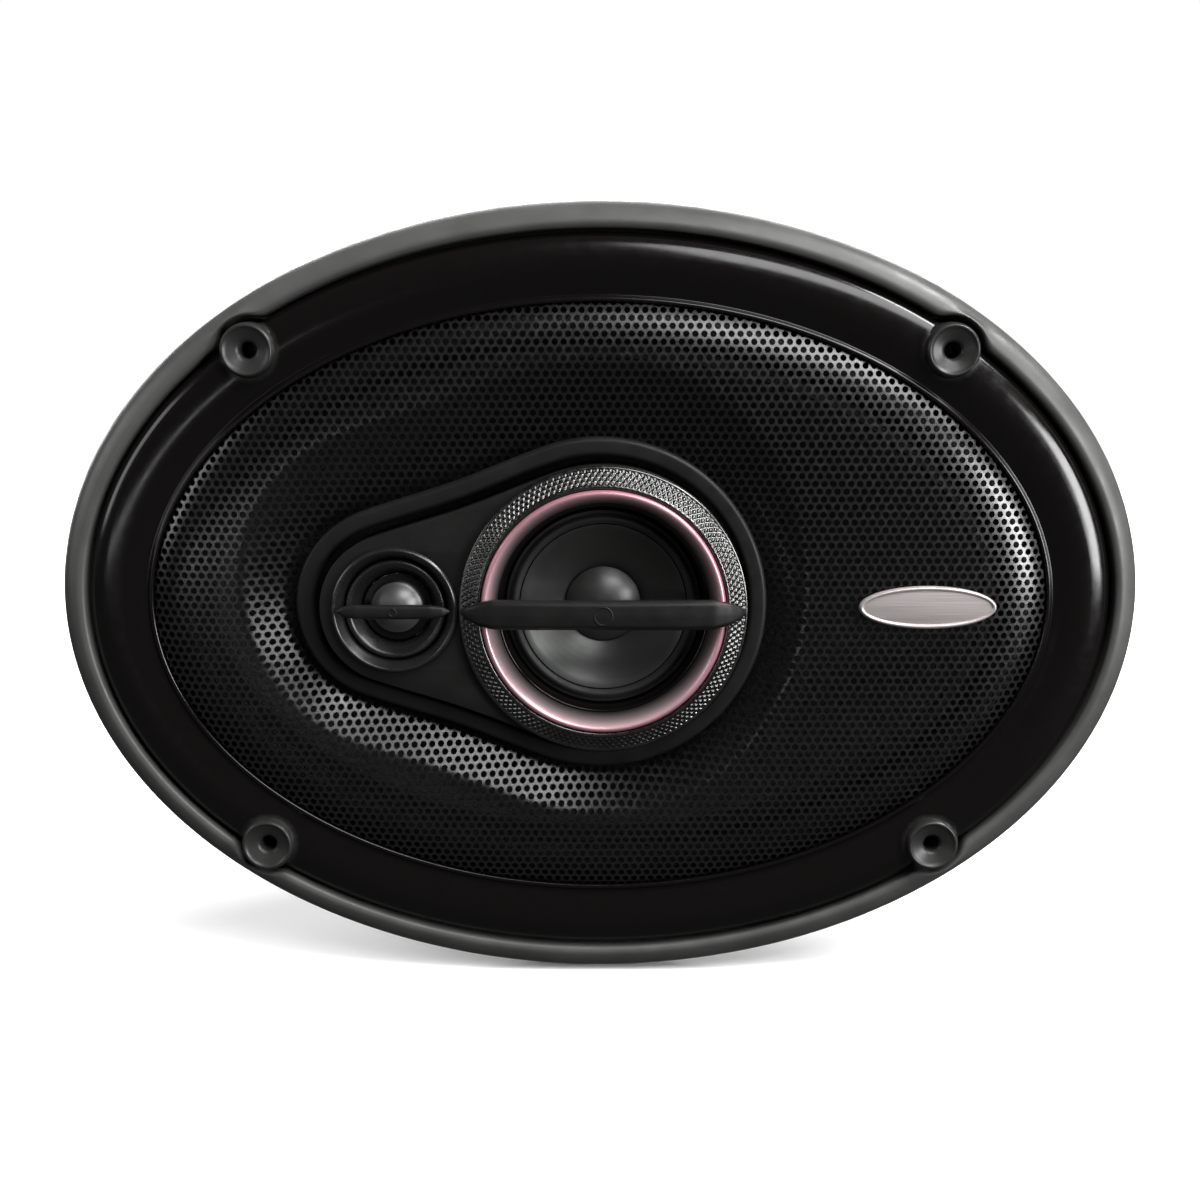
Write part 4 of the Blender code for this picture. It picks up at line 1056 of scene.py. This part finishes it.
def make_tweeter():
    """Super tweeter housing, waveguide and dome."""
    housing = [(13.6, ON_PLATE), (13.6, 14.4, 0.4), (13.1, 14.9, 0.3), (12.7, 14.85, 0.3),
               (11.4, 12.9, 0.4), (11.1, 12.0), (11.1, 3.4), (1.5, 3.4), (1.5, 2.0), (12.1, 2.0),
               (12.1, ON_PLATE)]
    piece("tweeter_housing", lathe(housing, TWEETER, 160, 0.2), SATIN_LOOK)
    guide = [(10.8, 8.6), (10.8, 12.6, 0.3), (10.3, 13.1, 0.35), (9.6, 12.9, 0.4), (7.9, 10.4, 0.8),
             (7.6, 8.6)]
    piece("tweeter_waveguide", lathe(guide, TWEETER, 160, 0.15), SATIN_LOOK)
    dome = [(0.0, 12.6), (1.5, 12.5, 0.8), (2.9, 12.05, 0.8), (4.2, 11.25, 0.8), (5.3, 10.3, 0.6),
            (6.1, 9.95, 0.4), (7.2, 9.9), (7.2, 9.5), (5.0, 9.85, 0.5), (2.7, 11.7, 1.0), (0.0, 12.2)]
    piece("tweeter_dome", lathe(dome, TWEETER, 120, 0.1), TWEETER_DOME_LOOK, "tweeter_moving")


def make_post():
    """Post that carries the pod."""
    top = CAN_BACK - 0.3
    foot = node_back("centre_post")
    post = [(9.0, top), (9.0, top - 2.0, 0.5), (6.5, top - 3.5, 1.0), (6.5, foot + 3.5, 1.0),
            (10.0, foot + 2.0, 0.4), (10.0, foot), (3.2, foot), (3.2, top)]
    piece("centre_post", lathe(post, steps=SMALL_STEPS, size=0.2), ZINC_LOOK)


# Basket, cone, motor

def windows():
    """Rounded cutters for the openings round the basket's wall."""
    half_width = 9.5
    half_height = 11.0
    middle = -19.0
    outline = soften([(-half_width, -half_height), (half_width, -half_height), (half_width, half_height),
                      (-half_width, half_height)], 3.5)
    made = []
    for angle in turn(WINDOW_COUNT):
        c, s = around(AXIS, 1.0, angle)
        rows = [[at(reach * c - across * s, middle + rise, reach * s + across * c)
                 for across, rise in outline] for reach in (40.0, 130.0)]
        made.append(loft(rows, closed=False))
    return made


def rivet_places():
    """Four places on the rivet circle, on the diagonals."""
    return [around(AXIS, RIVET_CIRCLE, math.tau * (i + 0.5) / 4.0) for i in range(4)]


def peg(radius, back, front, place):
    """Round cutter on a front-back axis."""
    return lathe([(0.0, front), (radius, front), (radius, back), (0.0, back)], place, 48, 0.01, 1)


def basket_section(angle):
    """Section of the basket at an angle, from the oval flange to the round cup."""
    mouth = 21.5
    skin_size = FLANGE

    def oval(inset, forward, size=1.0):
        x, z = oval_point(angle, inset)
        return (x, forward, z, size)

    def disc(radius, forward, size=1.0):
        x, z = around(AXIS, radius, angle)
        return (x, forward, z, size)

    return soften([
        oval(2.6, skin_size, 0.3), oval(mouth + 1.0, skin_size, 0.8), oval(mouth + 1.0, -2.4, 1.5),
        disc(51.0, LEDGE + 5.0), disc(49.0, LEDGE, 0.8), disc(CUP_RADIUS - skin_size, LEDGE, 0.6),
        disc(CUP_RADIUS - skin_size - 0.5, CUP_SEAT + skin_size), disc(18.6, CUP_SEAT + skin_size, 0.2),
        disc(18.6, CUP_SEAT, 0.2), disc(CUP_RADIUS - 0.5, CUP_SEAT), disc(CUP_RADIUS, LEDGE - skin_size, 0.8),
        disc(50.0, LEDGE - skin_size, 0.8), disc(52.4, LEDGE + 4.6), oval(mouth - 0.4, -3.0, 1.5),
        oval(mouth - 0.6, 0.0, 0.8), oval(2.6, 0.0, 0.3)], 1.0, axes=3)


def make_basket():
    """Stamped steel frame with eight windows and its screw and rivet holes."""
    rows = [[at(*p) for p in basket_section(angle)] for angle in turn(360)]
    cutters = windows()
    cutters += [peg(2.6, -2.0, 3.0, screw) for screw in SCREWS]
    cutters += [peg(2.3, CUP_SEAT - 1.0, CUP_SEAT + 3.0, place) for place in rivet_places()]
    piece("basket", cut(loft(rows), cutters), STEEL_LOOK)


def make_surround():
    """Gasket and the rubber half roll round the cone."""
    gasket = [(17.6, 2.4), (17.6, 4.6, 0.6), (20.6, 4.6, 0.6), (20.6, 2.4)]
    piece("surround_gasket", oval_ring(soften(gasket, 0.3), even_oval_angles(OVAL_STEPS)), RUBBER_LOOK)
    middle = 25.5
    radius = 4.5
    outer = [(middle - radius * math.cos(a), SURROUND_SEAT + 0.6 + 3.8 * math.sin(a))
             for a in np.linspace(0.0, math.pi, 13)]
    inner = [(middle - (radius - 0.6) * math.cos(a), SURROUND_SEAT + 0.2 + 3.6 * math.sin(a))
             for a in np.linspace(math.pi, 0.0, 13)]
    section = [(17.6, SURROUND_SEAT), (17.6, SURROUND_SEAT + 0.6), *outer, (33.2, SURROUND_SEAT + 0.6),
               (33.2, SURROUND_SEAT), *inner]
    mesh = oval_ring(soften(section, 0.2, steps=1), even_oval_angles(360))
    insets = oval_insets([(v.co.x / MM, v.co.z / MM) for v in mesh.vertices])
    soft_piece("woofer_surround", mesh, RUBBER_LOOK, "woofer_moving", (insets - 21.0) / 9.0)


def make_cone():
    """Woofer cone, from the oval rim to the round neck."""
    rim = SURROUND_SEAT - 0.3
    middle = (rim + CONE_NECK) / 2.0
    rows = []
    for angle in turn(240):
        edge = oval_point(angle, 31.0)
        edge_in = oval_point(angle, 34.0)
        edge_back = oval_point(angle, 33.4)
        neck = around(AXIS, CONE_NECK_RADIUS, angle)
        front_middle = tuple((a + b) / 2.0 for a, b in zip(edge_in, neck))
        back_middle = tuple((a + b) / 2.0 for a, b in zip(edge_back, neck))
        section = [(edge, rim, 0.2), (edge_in, rim, 1.5), (front_middle, middle - 2.2, 16.0),
                   (neck, CONE_NECK, 0.2), (neck, CONE_NECK - 1.4, 0.2), (back_middle, middle - 3.1, 16.0),
                   (edge_back, rim - 0.8, 1.5), (edge, rim - 0.8, 0.2)]
        corners = [(place[0], forward, place[1], size) for place, forward, size in section]
        rows.append([at(*p) for p in soften(corners, 0.5, steps=6, axes=3)])
    piece("woofer_cone", loft(rows), PAPER_LOOK, "woofer_moving")


def make_spider():
    """Corrugated cloth disc that centres the coil."""
    inner = 16.7
    outer = node_size("spider", 0)
    first = 20.0
    last = 42.0
    level = LEDGE + 0.3
    cloth = 0.6
    radii = np.linspace(first, last, 61)
    waves = level + 0.8 - 0.8 * np.cos(math.tau * 3.0 * (radii - first) / (last - first))
    wave = [(float(r), float(f)) for r, f in zip(radii, waves)]
    upper = [(inner, level + cloth), *[(r, f + cloth) for r, f in wave], (outer, level + cloth)]
    mesh = lathe([*upper, (outer, level), *wave[::-1], (inner, level)], size=0.05, bend=1)
    weights = [(43.0 - radius_from(v.co, AXIS)) / 24.0 for v in mesh.vertices]
    soft_piece("spider", mesh, CLOTH_LOOK, "woofer_moving", weights)


def make_motor():
    """Top plate, rivets, magnet, yoke and the rubber boot."""
    top_plate = [(45.0, PLATE_FRONT), (45.0, PLATE_BACK), (18.1, PLATE_BACK), (18.1, PLATE_FRONT)]
    holes = [peg(2.3, PLATE_BACK - 1.0, PLATE_FRONT + 1.0, place) for place in rivet_places()]
    piece("top_plate", cut(lathe(top_plate, size=0.5), holes), ZINC_LOOK)
    head = PLATE_FRONT + 1.8
    rivet = [(0.0, head + 1.4), (1.4, head + 1.35, 0.5), (2.7, head + 1.0, 0.5), (3.6, head), (2.0, head),
             (2.0, PLATE_BACK + 0.3), (0.0, PLATE_BACK + 0.3)]
    for number, place in enumerate(rivet_places(), 1):
        piece(f"basket_rivet_{number}", lathe(rivet, place, 48, 0.2), TINNED_LOOK)
    front = PLATE_BACK - 0.3
    magnet = [(50.0, front, 0.9), (50.0, MAGNET_BACK, 0.9), (21.0, MAGNET_BACK), (21.0, front)]
    piece("ferrite_magnet", lathe(magnet, size=0.4, steps=200), FERRITE_LOOK)
    pole_front = node_front("pole_yoke")
    yoke_front = MAGNET_BACK - 0.3
    yoke = [(15.2, pole_front, 0.6), (15.2, yoke_front), (46.0, yoke_front), (46.0, YOKE_BACK, 1.0),
            (2.8, YOKE_BACK, 0.7), (2.8, pole_front)]
    piece("pole_yoke", lathe(yoke, steps=200), ZINC_LOOK)
    inner = 50.3
    outer = node_size("magnet_boot", 0)
    grip = [(outer - 0.35 * (i % 2), front - 4.0 - i * 1.2, 0.3) for i in range(13)]
    boot = [(inner, front - 1.0), (outer - 0.5, front - 1.0, 0.4), (outer, front - 1.8, 0.5), *grip,
            (outer, BOOT_BACK + 3.0, 1.5), (outer - 3.0, BOOT_BACK, 1.5), (30.0, BOOT_BACK, 0.5),
            (30.0, YOKE_BACK - 0.3), (inner - 1.5, YOKE_BACK - 0.3), (inner, YOKE_BACK + 1.4)]
    piece("magnet_boot", lathe(boot, steps=200), RUBBER_LOOK)


# Connection

def make_terminals():
    """Fibre board with its tabs, rivets and capacitors."""
    rivet_x = 12.0
    rivet_z = -58.0
    board = [(-16.0, -45.4), (16.0, -45.4), (16.0, -61.0), (14.0, -63.0), (-14.0, -63.0), (-16.0, -61.0)]
    holes = [circle(1.5, x, rivet_z, 32) for x in (-rivet_x, rivet_x)]
    piece("terminal_board", plate([board, *holes], BOARD_BACK, BOARD_FRONT, 0.15), BOARD_LOOK)
    behind = BOARD_BACK - 0.3
    for name, x, half in (("terminal_positive", rivet_x, 3.15), ("terminal_negative", -rivet_x, 2.4)):
        tab = [(x - half, -54.0), (x + half, -54.0), (x + half, -72.0), (x + half - 1.0, -73.5),
               (x - half + 1.0, -73.5), (x - half, -72.0)]
        cuts = [circle(1.5, x, rivet_z, 32), circle(0.85, x, -69.0, 24)]
        piece(name, plate([tab, *cuts], behind - 0.8, behind, 0.12), TINNED_LOOK)
    back = behind - 1.1
    ahead = BOARD_FRONT + 0.3
    rivet = [(0.0, ahead + 0.6), (2.2, ahead + 0.4, 0.2), (2.2, ahead), (1.2, ahead), (1.2, back),
             (2.3, back), (2.0, back - 0.8, 0.3), (0.0, back - 0.8)]
    for number, x in enumerate((-rivet_x, rivet_x), 1):
        piece(f"board_rivet_{number}", lathe(rivet, (x, rivet_z), 48, 0.1), TINNED_LOOK)
    capacitor("capacitor_mid", 4.0, 15.0, -50.0)
    capacitor("capacitor_tweeter", 2.5, 11.0, -57.5)


def capacitor(node, radius, length, z):
    """Sleeved capacitor lying across the board, with its shrunk ends."""
    half = length / 2.0
    profile = [(0.0, half - 0.4), (radius * 0.62, half - 0.4, 0.3), (radius * 0.72, half, 0.3),
               (radius, half - 0.7, 0.5), (radius * 0.95, half - 1.8, 0.4), (radius, half - 2.8, 0.4),
               (radius, 1.0 - half, 0.5), (radius * 0.72, -half, 0.3), (radius * 0.6, 0.4 - half, 0.3),
               (0.0, 0.4 - half)]
    mesh = lathe(profile, steps=64, size=0.2)
    mesh.transform(Matrix.Rotation(math.pi / 2.0, 4, 'Z'))
    mesh.transform(Matrix.Translation(at(0.0, BOARD_BACK - 0.3 - radius, z)))
    piece(node, mesh, SLEEVE_LOOK)


def make_leads():
    """Flexible leads from the terminals to the cone and from the cone to the pod."""
    lead_radius = 0.7
    for number, x in enumerate((-7.0, 7.0), 1):
        route = [(x, -42.4, -56.5), (x, -38.0, -59.6), (x, -29.0, -61.0), (x, -21.0, -57.5),
                 (x, -18.5, -50.0), (x, -22.0, -43.0), (x, -25.5, -38.5)]
        mesh, shares = tube(smooth_route(route), lead_radius)
        soft_piece(f"tinsel_lead_{number}", mesh, BRAID_LOOK, "woofer_moving", shares)
    route = [(5.0, -25.0, -23.5), (5.0, -21.0, -25.5), (5.0, -14.0, -27.0), (5.0, -8.0, -26.8),
             (5.0, -4.1, -25.6)]
    mesh, shares = tube(smooth_route(route), lead_radius)
    soft_piece("pod_feed_lead", mesh, RUBBER_LOOK, "woofer_moving", [1.0 - s for s in shares])


def paint_inner_nodes():
    """Procedural finishes on the CAD nodes that stay as they are."""
    painted = {
        FORMER_LOOK: ("voice_coil_former", "mid_voice_coil", "tweeter_voice_coil"),
        COPPER_LOOK: ("voice_coil_winding",),
        ZINC_LOOK: ("mid_top_plate", "mid_yoke", "tweeter_yoke"),
        FERRITE_LOOK: ("mid_magnet", "tweeter_magnet"),
        TINNED_LOOK: ("post_bolt",),
    }
    for look, nodes in painted.items():
        for node in nodes:
            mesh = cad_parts[node].data
            mesh.materials.clear()
            mesh.materials.append(look.material)


# Stage, light and camera

def make_floor():
    """Plain pale floor under the object."""
    level = CAD_BOX[0].z
    reach = 60.0
    corners = [(-reach, -reach, level), (reach, -reach, level), (reach, reach, level),
               (-reach, reach, level)]
    look = surface("floor", (0.92, 0.92, 0.92), 0.9, tint=(2.0, 3.0, 0.01), Specular_IOR_Level=0.1)
    mesh = mesh_from("floor", corners, [(0, 1, 2, 3)])
    mesh.materials.append(look.material)
    floor = linked("floor", mesh)
    floor.visible_glossy = False
    floor.visible_diffuse = False


def make_sky_light():
    """Very soft light from high in front, which lights the floor evenly."""
    light = bpy.data.lights.new("sky_light", 'SUN')
    light.angle = math.radians(28.0)
    light.energy = 3.9
    obj = linked("sky_light", light)
    obj.rotation_euler = (math.radians(18.0), math.radians(12.0), 0.0)
    obj.visible_glossy = False


def make_light(name, place, size, power, target=(0.0, 0.0, 0.0)):
    """Soft area light aimed at a point."""
    light = bpy.data.lights.new(name, 'AREA')
    light.shape = 'RECTANGLE'
    light.size, light.size_y = size
    light.energy = power
    obj = linked(name, light)
    obj.location = place
    obj.rotation_euler = (Vector(target) - Vector(place)).to_track_quat('-Z', 'Y').to_euler()
    obj.visible_camera = False


def make_world():
    """Pale backdrop for the camera, and a dim surround, lighter below, for the light."""
    world = bpy.data.worlds.new("studio")
    bpy.context.scene.world = world
    bpy.context.scene.view_settings.view_transform = 'Standard'
    world.use_nodes = True
    nodes = Nodes(world.node_tree)
    white = (1.0, 1.0, 1.0, 1.0)
    direction = nodes.add('ShaderNodeTexCoord').outputs["Generated"]
    split = nodes.add('ShaderNodeSeparateXYZ', {"Vector": direction})
    dim = nodes.tree.nodes["Background"]
    nodes.feed(dim.inputs["Color"], white)
    nodes.feed(dim.inputs["Strength"], nodes.range(split.outputs["Z"], 0.08, 0.05, -0.5, 0.1))
    pale = nodes.add('ShaderNodeBackground', {"Color": white, "Strength": 1.0})
    mix = nodes.add('ShaderNodeMixShader', {"Fac": nodes.add('ShaderNodeLightPath').outputs["Is Camera Ray"],
                                            1: dim.outputs["Background"], 2: pale.outputs["Background"]})
    nodes.feed(nodes.tree.nodes["World Output"].inputs["Surface"], mix.outputs["Shader"])


def make_camera():
    """Camera in front of the speaker and slightly above it."""
    distance = 0.3
    elevation = math.radians(9.65)
    camera = bpy.data.cameras.new("camera")
    camera.sensor_width = 36.0
    camera.lens = 40.5
    camera.clip_start = 0.01
    obj = linked("camera", camera)
    back = Vector((0.0, -math.cos(elevation), math.sin(elevation)))
    obj.location = at(0.0, 3.0, 0.0) + back * distance
    obj.rotation_euler = (-back).to_track_quat('-Z', 'Y').to_euler()
    bpy.context.scene.camera = obj


make_trim_ring()
make_bezel()
make_grille_mesh()
make_badge()
make_pod_ring()
make_pod_housing()
make_baffle()
make_collar()
make_midrange()
make_bars()
make_tweeter()
make_post()
make_basket()
make_surround()
make_cone()
make_spider()
make_motor()
make_terminals()
make_leads()
paint_inner_nodes()
make_floor()
make_sky_light()
make_light("key", (0.4, -0.58, 0.68), (0.7, 0.35), 6.0)
make_light("right", (0.78, -0.56, 0.12), (0.3, 0.4), 7.0)
make_light("left", (-0.9, -0.2, 0.3), (0.4, 0.4), 1.4)
make_light("upper_right", (0.66, -0.12, 0.74), (0.3, 0.3), 8.5, (0.05, 0.0, 0.03))
make_light("low_front", (-0.45, -0.75, -0.02), (0.5, 0.04), 0.25)
make_light("back_fill", (0.0, 1.2, 0.7), (1.2, 0.6), 26.0)
make_light("back_low", (-0.7, 1.1, 0.15), (0.7, 0.5), 5.5, (0.0, 0.05, 0.0))
make_world()
make_camera()
